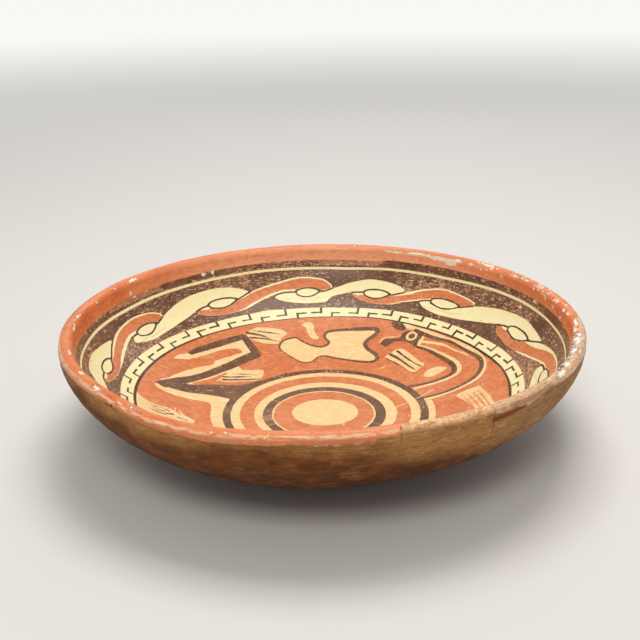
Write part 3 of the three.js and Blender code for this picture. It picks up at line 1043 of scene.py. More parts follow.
# How far the lip dips round the bowl, in mm, and the heights between which the wall joins in
LIP_DIP = (
    (-180, 0), (-140, 0), (-132, 0.8), (-125, 2.6), (-117, 3.0), (-108, 2.5), (-100, 1.6),
    (-92, 0.9), (-84, 0.7), (-76, 0.2), (-68, 0),
)
DIP_START, DIP_FULL = 28, 56
# The degrees over which the lip is bare, toned and made good in plaster
BARE_STRETCH = (-76.5, -57.8)
TONED_STRETCH = (-57.8, -36.5)
FILLED_STRETCH = (-36.5, -3.2)


def lip_dip(angle, z):
    """How far each point goes down where the lip dips."""
    t = np.clip((z - DIP_START) / (DIP_FULL - DIP_START), 0, 1)
    return round_bowl(angle, LIP_DIP) * t * t * (3 - 2 * t)


def uneven(shape, points, lengths, line, groove):
    """Dents, chips and the eroded stretches of lip, pressed into the clay and never proud of it."""
    angle = np.degrees(np.arctan2(points[:, 1], points[:, 0]))
    turn = np.radians(angle)
    across, up = section_normal(*line, lengths)
    normal = np.stack([across * np.cos(turn), across * np.sin(turn), up], -1)
    on_lip = window(lengths, LIP_START, LIP_END + 2, 4)
    small = bumps(points, 3.5, 3)

    # Dents all over, which fade out on the floor
    depth = shape.unevenness * (0.42 * bumps(points, 34, 1) + 0.18 * bumps(points, 9, 2))
    depth *= np.where(lengths < LIP_START, window(lengths, 30, 300, 30), 1)
    depth += 0.10 * on_lip * small

    # The rougher outside
    outside = window(lengths, LIP_END - 2, line[2][-1], 4)
    depth += outside * (0.16 * small + 0.12 * lumps(points * (1, 1, 3), 5, 7))

    # The bare and the toned stretch of lip, with the crease under it, and the plaster
    bare_lip = window(angle, *BARE_STRETCH, 0.6)
    depth += window(lengths, LIP_START, LIP_END + 12, 6) * bare_lip * (0.25 + 0.4 * small)
    toned_lip = window(angle, *TONED_STRETCH, 1.5)
    depth += on_lip * toned_lip * (0.15 + 0.35 * bumps(points, 4, 4))
    depth += toned_lip * 0.45 * np.exp(-(((lengths - LIP_END + 0.4) / 1.1) ** 2))
    fill = window(angle, *FILLED_STRETCH, 1) * window(lengths, LIP_START - 4, LIP_END - 4.5, 2.5)
    depth += fill * (0.35 + 0.5 * small + 0.3 * lumps(points, 1.6, 6))

    # Chips and hollows
    depth += 0.5 * np.clip(patches(angle, lengths, LOSSES) + 0.3, 0, 0.6)
    depth += 1.3 * np.clip(patches(angle, lengths, HOLLOWS) + 0.2, 0, 0.6)

    # The belly, flatter on the right of the near side and fuller on the left
    belly = np.exp(-(((points[:, 2] - 18) / 16) ** 2)) * (lengths > LIP_END)
    depth += belly * (0.9 * window(angle, -92, -40, 20) - 0.5 * window(angle, -150, -118, 20))

    # The groove over a seam, and what stays flat
    depth += groove * window(lengths, LIP_START + 3.5, LIP_END + 3, 3)
    flat_base = lengths > line[2][-1] - shape.base_radius - 2
    depth = np.where(flat_base | (lengths < 26), 0, depth)
    pressed = points - normal * depth[:, None]
    pressed[:, 2] -= lip_dip(angle, points[:, 2])
    return pressed


# Cutting the clay along its breaks


CUT_BOTTOM, CUT_TOP = -8.0, 72.0  # heights of the cutters, clear of the bowl


def plan_point(place):
    """The point of the plan, in mm, at an angle and a share of the rim radius."""
    angle, share = math.radians(place[0]), place[1]
    return RIM_RADIUS * share * math.cos(angle), RIM_RADIUS * share * math.sin(angle)


def outside_arc(start, end):
    """Points outside the wall from one angle to another, both ends left out."""
    steps = math.ceil(abs(end - start) / ARC_STEP)
    return [(start + (end - start) * i / steps, OUTSIDE) for i in range(1, steps)]


def shifted(points, distance):
    """The points of a path moved sideways, with mitred corners."""
    p = [Vector(point) for point in points]
    out = []
    for i, point in enumerate(p):
        into = (point - p[i - 1]).normalized() if i > 0 else (p[1] - p[0]).normalized()
        away = (p[i + 1] - point).normalized() if i < len(p) - 1 else into
        bisector = (into + away).normalized()
        mitre = distance / max(bisector.dot(into), 0.3)
        out.append((point.x - bisector.y * mitre, point.y + bisector.x * mitre))
    return out


def mesh_object(name, points, faces):
    """A mesh object from points in millimetres."""
    mesh = bpy.data.meshes.new(name)
    mesh.from_pydata([[c * MM for c in p] for p in points], [], [list(map(int, f)) for f in faces])
    mesh.update()
    piece = bpy.data.objects.new(name, mesh)
    bpy.context.scene.collection.objects.link(piece)
    return piece


def prism(outline, bottom=CUT_BOTTOM):
    """An upright cutter over an outline of the plan."""
    count = len(outline)
    turn = sum(a[0] * b[1] - b[0] * a[1] for a, b in zip([outline[-1], *outline], outline))
    ring = outline if turn > 0 else outline[::-1]
    points = [(x, y, bottom) for x, y in ring] + [(x, y, CUT_TOP) for x, y in ring]
    faces = [tuple(range(count))[::-1], tuple(range(count, 2 * count))]
    faces += [(i, (i + 1) % count, count + (i + 1) % count, count + i) for i in range(count)]
    cutter = mesh_object("cutter", points, faces)
    for _ in range(2):
        cutter.data.materials.append(None)
    cutter.data.polygons.foreach_set("material_index", [1] * len(faces))
    return cutter


def band(path, thickness):
    """An upright cutter of even thickness along a path of angles and shares."""
    points = [plan_point(place) for place in path]
    return prism(shifted(points, thickness / 2) + shifted(points, -thickness / 2)[::-1])


def chip_plug():
    """The filled chip in the lip: an upright oval."""
    x, y = plan_point((CHIP_ANGLE, 1))
    turn = math.radians(CHIP_ANGLE)
    outline = []
    for i in range(CHIP_STEPS):
        t = 2 * math.pi * i / CHIP_STEPS
        deep, wide = CHIP_DEPTH * math.cos(t), CHIP_LENGTH / 2 * math.sin(t)
        outline.append((
            x + deep * math.cos(turn) - wide * math.sin(turn),
            y + deep * math.sin(turn) + wide * math.cos(turn),
        ))
    return prism(outline, bottom=HEIGHT - CHIP_DROP)


def combine(piece, other, operation):
    """Cuts one object with another, which is then gone."""
    cut = piece.modifiers.new("cut", "BOOLEAN")
    cut.object = other
    cut.operation = operation
    cut.solver = "MANIFOLD"
    graph = bpy.context.evaluated_depsgraph_get()
    mesh = bpy.data.meshes.new_from_object(piece.evaluated_get(graph))
    piece.modifiers.clear()
    old = piece.data
    piece.data = mesh
    bpy.data.meshes.remove(old)
    bpy.data.meshes.remove(other.data)
    return piece


def without(piece, *others):
    """What is left of an object when others are cut out of it."""
    for other in others:
        combine(piece, other, "DIFFERENCE")
    return piece


def region(*breaks):
    """An upright cutter over what lies between some breaks, end to end, and the outside."""
    places = [place for path in breaks for place in path]
    places += outside_arc(places[-1][0], places[0][0])
    return prism([plan_point(place) for place in places])


def clay_piece(name, shape, cutter, operation, groove=0.0):
    """One piece of the bowl: the whole, cut once and painted. A groove sinks its lip."""
    points, faces = whole_bowl(shape, groove)
    piece = mesh_object(name, points, faces)
    piece.data.materials.append(None)
    piece.data.materials.append(None)
    combine(piece, cutter, operation)
    if not piece.data.polygons:
        raise RuntimeError(f"the cut leaves nothing of {name}")
    paint(piece, shape)
    return piece


SEARCH_STEPS = 700  # places of the section that each point is held against
AT_ONCE = 20000  # points in one go, for the sake of memory
DIP_PASSES = 6  # rounds in which the height before the dip is found
SHARP_EDGE = math.radians(48)


def along_of(shape, r, z):
    """Length along the section nearest to each point."""
    line_r, line_z, along = section(shape)
    keep = np.linspace(0, len(along) - 1, SEARCH_STEPS).astype(int)
    line_r, line_z, along = line_r[keep], line_z[keep], along[keep]
    out = np.empty(len(r))
    for start in range(0, len(r), AT_ONCE):
        part = slice(start, start + AT_ONCE)
        gap = (r[part, None] - line_r) ** 2 + (z[part, None] - line_z) ** 2
        best = np.clip(gap.argmin(1), 1, len(along) - 2)
        row = np.arange(len(best))
        ahead = gap[row, best + 1] < gap[row, best - 1]
        low = np.where(ahead, best, best - 1)
        dr, dz = line_r[low + 1] - line_r[low], line_z[low + 1] - line_z[low]
        t = ((r[part] - line_r[low]) * dr + (z[part] - line_z[low]) * dz) / (dr**2 + dz**2 + 1e-12)
        out[part] = along[low] + np.clip(t, 0, 1) * (along[low + 1] - along[low])
    return out


def paint(piece, shape):
    """Keeps every painted distance on the piece's points."""
    mesh = piece.data
    places = np.empty(len(mesh.vertices) * 3, np.float32)
    mesh.vertices.foreach_get("co", places)
    x, y, z = places.reshape(-1, 3).astype(float).T / MM
    angle = np.degrees(np.arctan2(y, x))
    level = z
    for _ in range(DIP_PASSES):
        level = z + lip_dip(angle, level)
    s = along_of(shape, np.hypot(x, y), level)
    for name, values in {"along": s, **paint_fields(angle, s, x, y)}.items():
        kept = mesh.attributes.new(name, "FLOAT", "POINT")
        kept.data.foreach_set("value", values.astype(np.float32))
    mesh.polygons.foreach_set("use_smooth", [True] * len(mesh.polygons))
    mesh.set_sharp_from_angle(angle=SHARP_EDGE)


# Finishes


class Wire:
    """A socket that takes part in sums: an expression on wires adds its Math nodes."""

    def __init__(self, material, socket):
        self.material = material
        self.socket = socket

    def math(self, operation, *others):
        """What an operation makes of this and others."""
        sockets = dict(enumerate((self, *others)))
        return self.material.node("ShaderNodeMath", {"operation": operation}, sockets).out()

    def __add__(self, other):
        return self.math("ADD", other)

    def __sub__(self, other):
        return self.math("SUBTRACT", other)

    def __mul__(self, other):
        return self.math("MULTIPLY", other)

    def __rsub__(self, other):
        return (self * -1) + other

    def __neg__(self):
        return self * -1

    __radd__ = __add__
    __rmul__ = __mul__

    def least(self, *others):
        """The least of this and others."""
        return self if not others else self.math("MINIMUM", others[0]).least(*others[1:])

    def most(self, *others):
        """The most of this and others."""
        return self if not others else self.math("MAXIMUM", others[0]).most(*others[1:])

    def size(self):
        """Its distance from 0."""
        return self.math("ABSOLUTE")

    def above(self, level, soft):
        """0 below a level and 1 above it, over a soft step. A soft below 0 turns it round."""
        settings = {"interpolation_type": "SMOOTHSTEP"}
        ends = {1: level - soft, 2: level + soft}
        return self.material.node("ShaderNodeMapRange", settings, {0: self, **ends}).out()


class Node:
    """A node whose outputs come out as wires."""

    def __init__(self, material, node):
        self.material = material
        self.node = node

    def out(self, name=0):
        """One of its outputs."""
        return Wire(self.material, self.node.outputs[name])


class Finish:
    """A material under construction."""

    def __init__(self, name):
        self.data = bpy.data.materials.new(name)
        self.data.use_nodes = True
        self.tree = self.data.node_tree
        self.shader = self.tree.nodes["Principled BSDF"]

    def node(self, kind, settings=None, sockets=None):
        """Adds a node: its settings first, then its sockets."""
        made = self.tree.nodes.new(kind)
        for name, value in (settings or {}).items():
            setattr(made, name, value)
        self.set_sockets(made, sockets or {})
        return Node(self, made)

    def set_sockets(self, made, sockets):
        """Links the wires among some sockets' values and sets the rest."""
        for name, value in sockets.items():
            if isinstance(value, Wire):
                self.tree.links.new(value.socket, made.inputs[name])
            else:
                made.inputs[name].default_value = value

    def set(self, **sockets):
        """Values or wires for the shader's own sockets, with underscores for spaces."""
        named = {name.replace("_", " "): value for name, value in sockets.items()}
        self.set_sockets(self.shader, named)

    def field(self, name):
        """A number kept on the mesh."""
        return self.node("ShaderNodeAttribute", {"attribute_name": name}).out("Fac")

    def vectors(self, operation, *values, **named):
        """What an operation makes of vectors."""
        sockets = {**dict(enumerate(values)), **named}
        return self.node("ShaderNodeVectorMath", {"operation": operation}, sockets)

    def place(self):
        """The point in millimetres."""
        at = self.node("ShaderNodeTexCoord").out("Object")
        return self.vectors("SCALE", at, Scale=1 / MM).out()

    def stretched(self, vector, x, y, z):
        """A vector scaled by axis, so that the noise on it is drawn out where the scale is small."""
        return self.vectors("MULTIPLY", vector, (x, y, z)).out()

    def noise(self, vector, size, detail=3.0, rough=0.55):
        """Noise from 0 to 1, with lumps of a size in millimetres."""
        sockets = {"Vector": vector, "Scale": 1 / size, "Detail": detail, "Roughness": rough}
        return self.node("ShaderNodeTexNoise", None, sockets).out("Fac")

    def shaken(self, vector, size, reach):
        """A vector moved about by noise, so that what is built on it loses its even shape."""
        sockets = {"Vector": vector, "Scale": 1 / size, "Detail": 2.0}
        shift = self.node("ShaderNodeTexNoise", None, sockets).out("Color")
        centred = self.vectors("SUBTRACT", shift, (0.5, 0.5, 0.5)).out()
        return self.vectors("MULTIPLY_ADD", centred, (reach, reach, reach), vector).out()

    def flecks(self, vector, size, share, soft=0.06):
        """Scattered flecks in cells of a size in mm, of which a share hold one."""
        sockets = {"Vector": self.shaken(vector, size, size), "Scale": 1 / size}
        cells = self.node("ShaderNodeTexVoronoi", None, sockets)
        draw = self.node("ShaderNodeSeparateColor", None, {0: cells.out("Color")}).out()
        return ((draw + share - 1) * 1.2 - cells.out("Distance")).above(0, soft)

    def mix(self, share, first, second):
        """From one colour to another. Each is a wire or three numbers."""
        full = [c if isinstance(c, Wire) else (*c, 1) for c in (first, second)]
        made = self.node("ShaderNodeMix", {"data_type": "RGBA"})
        self.set_sockets(made.node, {"Factor": share})
        for socket, value in zip([i for i in made.node.inputs if i.type == "RGBA"], full):
            if isinstance(value, Wire):
                self.tree.links.new(value.socket, socket)
            else:
                socket.default_value = value
        return Wire(self, next(o for o in made.node.outputs if o.type == "RGBA"))

    def blend(self, share, first, second):
        """From one number to another."""
        return self.node("ShaderNodeMix", None, {0: share, 2: first, 3: second}).out()

    def bump(self, height):
        """Relief from a height in millimetres."""
        sockets = {"Height": height, "Distance": MM, "Strength": 1.0}
        return self.node("ShaderNodeBump", None, sockets).out()


# Tones between which the finishes mix: of the slip, the lip, the cream, the black, the mended
# stretches and the outside
LIGHT_SLIP = screen(228, 144, 96)
SHADED_SLIP = screen(196, 102, 58)
RUBBED_SLIP = screen(240, 184, 136)
LIP_SLIP = screen(240, 132, 72)
# Painted light: the lip's red where it faces the light
PAINTED_LIT_LIP = screen(255, 184, 144)
# The rubbed crest of the lip, partly a painted highlight
RUBBED_LIP_AND_HIGHLIGHT = screen(230, 156, 108)
# Painted highlight on the curve of the lip
LIP_PAINTED_HIGHLIGHT = screen(255, 210, 172)
STAINED_CREAM = screen(244, 198, 134)
SPOT = screen(178, 108, 62)
THIN_BLACK = screen(134, 96, 70)
GROUND = screen(194, 136, 102)
PALE_GROUND = screen(246, 220, 184)
# Painted shade in hollows and pits
HOLLOW_SHADE = screen(64, 42, 28)
BARE_LIP = screen(234, 178, 128)
# Darker clay of the lip, partly painted shade along its lower edge
BARE_DARK_AND_SHADE = screen(180, 128, 86)
# Paler clay of the lip, partly a painted highlight
PALE_CLAY_AND_HIGHLIGHT = screen(246, 204, 160)
TONED = screen(222, 178, 140)
TONED_SHADE = screen(168, 112, 78)
TONED_DULL = screen(172, 112, 76)
# Dark of the cracks, and painted shade in the crease
CREASE_SHADE_AND_CRACK = screen(134, 66, 38)
FILL_TINT = screen(216, 172, 128)
FILL_PINK = screen(222, 184, 152)
SMOKED = screen(64, 34, 14)
ORANGE_CLAY = screen(142, 84, 40)
SCAB = screen(210, 166, 108)


def round_coordinates(finish, place, along, pull):
    """A vector that turns with the bowl, so that noise on it runs in streaks round the wall."""
    unit = finish.vectors("NORMALIZE", finish.stretched(place, 1, 1, 0)).out()
    ring = finish.vectors("SCALE", unit, Scale=WALL_RADIUS / pull).out()
    parts = finish.node("ShaderNodeSeparateXYZ", None, {0: ring})
    sockets = {0: parts.out(0), 1: parts.out(1), 2: along}
    return finish.node("ShaderNodeCombineXYZ", None, sockets).out()


# Noise lies round 0.5, mostly within a tenth of it. A step above that keeps less than half of the
# surface, and one below it more.


def pottery(name, colours, seam=False):
    """The clay, with its slip, its paint and all that has worn them, and a seam's filler."""
    f = Finish(name)
    place = f.place()
    along = f.field("along")
    ringed = round_coordinates(f, place, along, 4.0)
    streak = f.noise(ringed, 1.1, 4, 0.65)
    cloud = f.noise(place, 7, 4, 0.6)
    fine = f.noise(place, 0.9, 3, 0.7)
    grit = f.noise(place, 1.7, 5, 0.75) - 0.5
    waver = (f.noise(place, 4.5, 2) - 0.5) * 0.9 + grit * 0.8
    ragged = (f.noise(place, 2.6, 5, 0.7) - 0.5) * 3.4

    slip = slip_tone(f, colours, place, along, streak, cloud, fine)
    cream = cream_tone(f, colours, place, along, cloud)
    black, thin = black_tone(f, colours, place, along, cloud)
    cream_at, black_at, line_at, red_at = painted_places(f)
    is_line = (line_at + waver * 0.5).above(0, 0.16)
    is_black = (black_at + waver * 0.7).above(0, 0.16).most(is_line)
    tone = f.mix((cream_at + waver).above(0, 0.16), slip, cream)
    tone = f.mix((red_at + waver * 0.8).above(0, 0.16), tone, slip)
    tone = f.mix(is_black, tone, f.mix(is_line * 0.85, black, colours.line))
    tone, nicks = nicked(f, colours, place, tone)

    bare = (f.field("bare") + ragged * 0.4).above(0, 0.5)
    edge = (along + (f.noise(ringed, 8, 3) - 0.5) * 7 + ragged * 0.8).above(LIP_END + 1, 0.4)
    is_outer = f.blend(bare, edge, (along + ragged * 0.8).above(LIP_END - 1, 2.5))
    tone = lip_tone(f, colours, tone, streak, ragged, place, bare)
    tone = f.mix(is_outer, tone, outer_clay(f, colours, place, along))
    lost = (f.field("lost") + grit * 4.2).above(0, 0.18)
    hollow = (f.field("hollow") + grit * 2).above(0, 0.25)
    scratched = (f.field("scratched") + grit * 1.2).above(0, 0.12)
    tone = f.mix(scratched * 0.9, tone, PALE_GROUND)
    tone = f.mix(lost, tone, f.mix(fine.above(0.58, 0.05) * 0.4, colours.loss, FILL_TINT))
    # Painted shade in the hollows
    tone = f.mix(hollow * 0.92, tone, HOLLOW_SHADE)
    if seam:
        tone = f.mix((f.field("mend") + waver).above(0, 0.3) * 0.9, tone, colours.filler)
        tone = f.mix((f.field("crack") + ragged).above(0, 0.6) * 0.5, tone, CREASE_SHADE_AND_CRACK)

    relief = fine * 0.05 + f.noise(place, 0.45, 3, 0.6) * 0.03 + streak * 0.10 + cloud * 0.10
    relief = relief + is_black * 0.03 - lost * 0.22 - nicks * 0.08 - scratched * 0.05 - hollow * 0.5
    rough_clay = f.noise(round_coordinates(f, place, along, 6.0), 1.9, 6, 0.68)
    relief = relief + is_outer * (rough_clay * 0.8 + f.noise(place, 1.1, 4, 0.65) * 0.25)
    lip_gloss = along.above(LIP_BAND + 2, 2) * (1 - is_outer)
    shine = 0.40 + thin * 0.12 + (fine - 0.5) * 0.25 - lip_gloss * 0.12
    shine = shine + lost * 0.35 + nicks * 0.2 + hollow * 0.3 + is_outer * 0.3
    gloss = (1 - is_outer) * (along.above(WALL_START, 3) * 0.25 + 0.12 - lost * 0.1)
    f.set(Base_Color=tone, Roughness=shine, Normal=f.bump(relief), Specular_IOR_Level=0.15)
    f.set(Coat_Weight=gloss, Coat_Roughness=0.28)
    return f.data


# The fret's strokes in each bend, as shares of its length: the places of the two uprights, and
# where the two level strokes start and end
UPRIGHTS = (0.045, 0.73)
BEAMS = ((0.02, 0.29), (0.46, 0.75))


def fret_lines(f):
    """Inside the bent dark lines of the fret: in each bend an upright and a level stroke, twice."""
    bends, long = f.field("bends"), f.field("bend_length")
    across = bends.math("FRACT") * long
    uneven = (bends.math("FLOOR") * 2.4).math("SINE") * 0.03
    low, high = f.field("above_fret"), f.field("below_fret")
    middle = f.field("above_middle") - uneven * 8
    half = uneven * 3 * FRET_HALF_WIDTH + FRET_HALF_WIDTH
    beam = uneven * 3 * FRET_HALF_BEAM + FRET_HALF_BEAM - middle.size()
    first, second = [half - (across - long * share).size() for share in UPRIGHTS]
    (start, end), (next_start, next_end) = BEAMS
    return first.least(low, half - middle).most(
        beam.least(across - long * start, (uneven + end) * long - across),
        beam.least(across - (next_start - uneven) * long, long * next_end - across),
        second.least(middle + half, high),
    )


def painted_places(f):
    """How far inside the cream, the black, the thin lines and the red each place lies, in mm."""
    eye, strands = f.field("eye"), f.field("strands")
    line = f.field("above_line").least(f.field("below_line"))
    fret_band = f.field("above_fret").least(f.field("below_fret"))
    parting = (PARTING - f.field("above_parting").size()).least(f.field("beside_parting"), -eye)
    outline = (eye + OUTLINE).least(-eye)
    ground = f.field("ground").least(-strands, -line, -eye)
    edge = f.field("above_edge").least(-f.field("above_fret"))
    wall_lines = parting.most(outline, edge, fret_lines(f).least(fret_band))
    wall_cream = strands.most(eye, line, fret_band)
    on_wall = f.field("above_edge").above(0, 0.02)
    cream = f.blend(on_wall, f.field("cream"), wall_cream)
    black = f.blend(on_wall, f.field("black"), ground)
    lines = f.blend(on_wall, -FAR, wall_lines)
    return cream, black, lines, f.field("red").least(-eye - OUTLINE)


def slip_tone(f, colours, place, along, streak, cloud, fine):
    """The orange-red slip: mottled and rubbed pale in fine streaks, deeper in the band at the lip,
    which painted light makes paler on the far side.
    """
    blotch = f.noise(place, 22, 3)
    mottle = f.noise(place, 3.2, 5, 0.72)
    brushed = f.noise(f.stretched(place, 0.45, 1.7, 1.0), 2.0, 5, 0.7)
    slip = f.mix((cloud * 0.6 + blotch * 0.4).above(0.5, 0.14), LIGHT_SLIP, colours.slip)
    slip = f.mix(mottle.above(0.53, 0.07) * 0.55, slip, SHADED_SLIP)
    slip = f.mix((brushed * 0.6 + fine * 0.4).above(0.56, 0.04) * 0.4, slip, RUBBED_SLIP)
    slip = f.mix((mottle * 0.5 + brushed * 0.5).above(0.44, -0.03) * 0.35, slip, colours.deep_slip)
    slip = f.mix(f.flecks(place, 1.8, 0.14) * 0.6, slip, colours.cream)
    deep = f.mix((streak * 0.6 + blotch * 0.4).above(0.5, 0.07), LIP_SLIP, colours.deep_slip)
    # Painted light: the lip's red is mixed paler where it faces the light, most on the far side
    lit_lip = f.mix((streak * 0.5 + mottle * 0.5).above(0.52, 0.05) * 0.35, PAINTED_LIT_LIP, LIP_SLIP)
    deep = f.mix(f.field("lip_pale") * (1 - along.above(LIP_START + 2.5, 1.5) * 0.8), deep, lit_lip)
    deep = f.mix((streak * 0.5 + mottle * 0.5).above(0.55, 0.04) * 0.5, deep, RUBBED_LIP_AND_HIGHLIGHT)
    return f.mix(along.above(LIP_BAND, 0.6), slip, deep)


def cream_tone(f, colours, place, along, cloud):
    """The cream paint, paler on the wall, with the slip showing through in spots."""
    on_wall = along.above(WALL_START, 1.2)
    cream = f.mix(on_wall, colours.cream, colours.pale_cream)
    brushed = f.noise(f.stretched(place, 0.5, 1.6, 1.0), 2.4, 5, 0.7)
    on_floor = 1 - on_wall * 0.7
    cream = f.mix(cloud.above(0.54, 0.12) * 0.4 * on_floor, cream, STAINED_CREAM)
    cream = f.mix(brushed.above(0.55, 0.04) * 0.35, cream, colours.loss)
    cream = f.mix(brushed.above(0.43, -0.04) * 0.35 * on_floor, cream, STAINED_CREAM)
    faded = f.field("wear").above(0.55, 0.2) * (1 - along.above(FLOOR_END, 1))
    cream = f.mix(faded * brushed.above(0.5, 0.05) * 0.7, cream, LIGHT_SLIP)
    cream = f.mix(f.flecks(place, 2.2, 0.16) * 0.55, cream, colours.slip)
    return f.mix(f.flecks(place, 1.2, 0.12) * 0.55, cream, SPOT)


def black_tone(f, colours, place, along, cloud):
    """The brown-black paint: rubbed thin, and worn in streaks and flecks to the pale ground."""
    worn = f.field("wear")
    streaks = f.noise(round_coordinates(f, place, along, 3.2), 1.0, 5, 0.68)
    specks = f.noise(place, 0.9, 4, 0.7)
    ragged = streaks * 0.6 + specks * 0.4
    thin = (ragged * 0.5 + cloud * 0.5 + worn * 0.10).above(0.55, 0.05)
    black = f.mix(thin * 0.7, colours.black, THIN_BLACK)
    black = f.mix((specks * 0.6 + cloud * 0.4).above(0.45, -0.04) * 0.4, black, colours.line)
    bare = (ragged + worn * 0.15).above(0.628, 0.03)
    ground = f.mix((specks * 0.5 + streaks * 0.5).above(0.57, 0.05), GROUND, PALE_GROUND)
    black = f.mix(bare * 0.8, black, ground)
    long_flecks = f.flecks(round_coordinates(f, place, along, 1.8), 1.4, worn * 0.26 + 0.03)
    return f.mix(long_flecks * 0.85, black, PALE_GROUND), thin


def nicked(f, colours, place, tone):
    """Small nicks and thin scratches through the paint."""
    worn = f.field("wear")
    nicks = f.flecks(place, 3.0, worn * 0.12 + f.field("chipped") + 0.03, 0.05)
    fibres = f.noise(f.stretched(place, 0.35, 1.9, 1.0), 2.2, 2, 0.6).above(0.72, 0.02)
    crossed = f.noise(f.stretched(place, 1.9, 0.4, 1.0), 2.2, 2, 0.6).above(0.73, 0.02)
    tone = f.mix(f.flecks(place, 1.3, worn * 0.16 + 0.03) * 0.6, tone, PALE_GROUND)
    tone = f.mix(fibres * 0.6, tone, PALE_GROUND)
    tone = f.mix(crossed * 0.5, tone, GROUND)
    return f.mix(nicks * 0.85, tone, colours.loss), nicks


def lip_tone(f, colours, tone, streak, ragged, place, bare):
    """The lip: rubbed on its crest, bare on one sherd, toned on the next, and plaster beyond it.
    Painted light on it: a highlight on the crest and a highlight line round its curve, pale highlights
    on the bare, toned and made-good clay, and shade along its lower edge.
    """
    along = f.field("along")
    crest = along.above(LIP_START + 2.5, 1.5)
    mottle = f.noise(place, 2.2, 5, 0.72)
    both_noises = streak * 0.5 + mottle * 0.5
    # The crest is rubbed paler, and part of that paleness is a painted highlight
    tone = f.mix(crest * both_noises.above(0.5, 0.06) * 0.5, tone, RUBBED_LIP_AND_HIGHLIGHT)
    tone = f.mix(crest * f.flecks(place, 1.8, 0.12) * 0.6, tone, RUBBED_SLIP)
    # A painted highlight: a pale streaky line round the outer curve of the lip
    painted_highlight = (1.0 - (along - LIP_START - 9.2).size()).above(0, 0.6)
    tone = f.mix(painted_highlight * streak.above(0.47, 0.06) * 0.8, tone, LIP_PAINTED_HIGHLIGHT)
    # Darker along the lip's lower edge, where it turns under: partly the clay's darker tone, partly
    # painted shade
    tone = f.mix(along.above(LIP_END - 0.6, 0.8) * mottle.above(0.48, 0.06) * 0.7, tone, BARE_DARK_AND_SHADE)
    clay = f.mix(streak.above(0.52, 0.06) * 0.8, BARE_LIP, BARE_DARK_AND_SHADE)
    # Pale patches on the bare clay, partly its own paler tone and partly painted highlight
    clay = f.mix(mottle.above(0.53, 0.05) * 0.8, clay, PALE_CLAY_AND_HIGHLIGHT)
    # Partly painted shade: the bare clay darkens towards the lip's lower edge
    lower = along.above(LIP_END - 0.5, 1.5)
    clay = f.mix(lower * both_noises.above(0.47, 0.05) * 0.7, clay, BARE_DARK_AND_SHADE)
    tone = f.mix(bare, tone, clay)
    toned = f.mix(mottle.above(0.52, 0.06) * 0.9, TONED, TONED_SHADE)
    # Pale patches on the toned lip, partly painted highlight
    toned = f.mix(both_noises.above(0.53, 0.04) * 0.9, toned, PALE_CLAY_AND_HIGHLIGHT)
    toned = f.mix((f.field("dulled") + ragged * 0.8).above(0, 0.8) * 0.65, toned, TONED_DULL)
    tone = f.mix((f.field("toned") + ragged * 0.35).above(0, 0.4), tone, toned)
    # The made-good lip's pale patches are partly painted highlight
    filled = f.mix(mottle.above(0.5, 0.05) * 0.8, FILL_TINT, PALE_CLAY_AND_HIGHLIGHT)
    filled = f.mix(streak.above(0.55, 0.04) * 0.5, filled, BARE_DARK_AND_SHADE)
    tone = f.mix((f.field("filled") + ragged * 0.5).above(0, 0.6), tone, filled)
    blobs = f.noise(place, 2.6, 3, 0.6)
    plaster = f.mix(blobs.above(0.53, 0.03), FILL_PINK, colours.plaster)
    # Painted shade: dark pits in the plaster's crevices
    pits = f.noise(f.stretched(place, 1, 1, 1.3), 1.9, 3, 0.6).above(0.565, 0.03)
    plaster = f.mix(pits * 0.85, plaster, HOLLOW_SHADE)
    return f.mix((f.field("plaster") + ragged * 0.5).above(0, 0.4), tone, plaster)


def outer_clay(f, colours, place, along):
    """Bare handled clay: tan under the lip, brown below it and darker towards the base with painted
    shade, with dark streaks round it.
    """
    ringed = round_coordinates(f, place, along, 6.0)
    streak = f.noise(ringed, 2.6, 6, 0.68)
    thin_streak = f.noise(ringed, 0.9, 4, 0.65)
    blotch = f.noise(place, 22, 4, 0.6)
    patch = f.noise(f.stretched(place, 1, 1, 1.8), 9, 5, 0.65)
    ragged = (blotch - 0.5) * 20 + (streak - 0.5) * 20
    # Painted shade: the clay darkens towards the base, where the outside turns under
    low = (along + (blotch - 0.5) * 40).above(LIP_END + 24, 16)
    lined = streak * 0.55 + thin_streak * 0.45
    tone = f.mix(low * 0.85, colours.brown_clay, colours.dark_clay)
    tone = f.mix(lined.above(0.53, 0.05) * 0.6, tone, SMOKED)
    tone = f.mix(patch.above(0.54, 0.08) * 0.6, tone, ORANGE_CLAY)
    tone = f.mix((streak * 0.7 + patch * 0.3).above(0.59, 0.04) * 0.4, tone, colours.clay)
    tan = f.mix(f.field("beige"), colours.clay, colours.beige)
    tan = f.mix(lined.above(0.52, 0.06) * 0.6, tan, colours.brown_clay)
    # Partly painted shade: the tan under the lip turns browner lower down
    tan = f.mix((along + (blotch - 0.5) * 20).above(LIP_END + 17, 8) * 0.5, tan, colours.brown_clay)
    tan = f.mix(patch.above(0.57, 0.05) * 0.5, tan, ORANGE_CLAY)
    tan = f.mix((thin_streak * 0.5 + patch * 0.5).above(0.55, 0.03) * 0.7, tan, SCAB)
    tone = f.mix((f.field("tan") + ragged).above(0, 7.0) * 0.92, tone, tan)
    tone = f.mix(f.flecks(ringed, 1.1, 0.16) * 0.4, tone, SMOKED)
    tone = f.mix(f.flecks(ringed, 1.3, 0.12) * 0.5, tone, SCAB)
    # Painted shade in the crease under the toned lip
    crease = (f.field("crease") + (streak - 0.5) * 2).above(0, 0.4)
    return f.mix(crease * 0.9, tone, CREASE_SHADE_AND_CRACK)


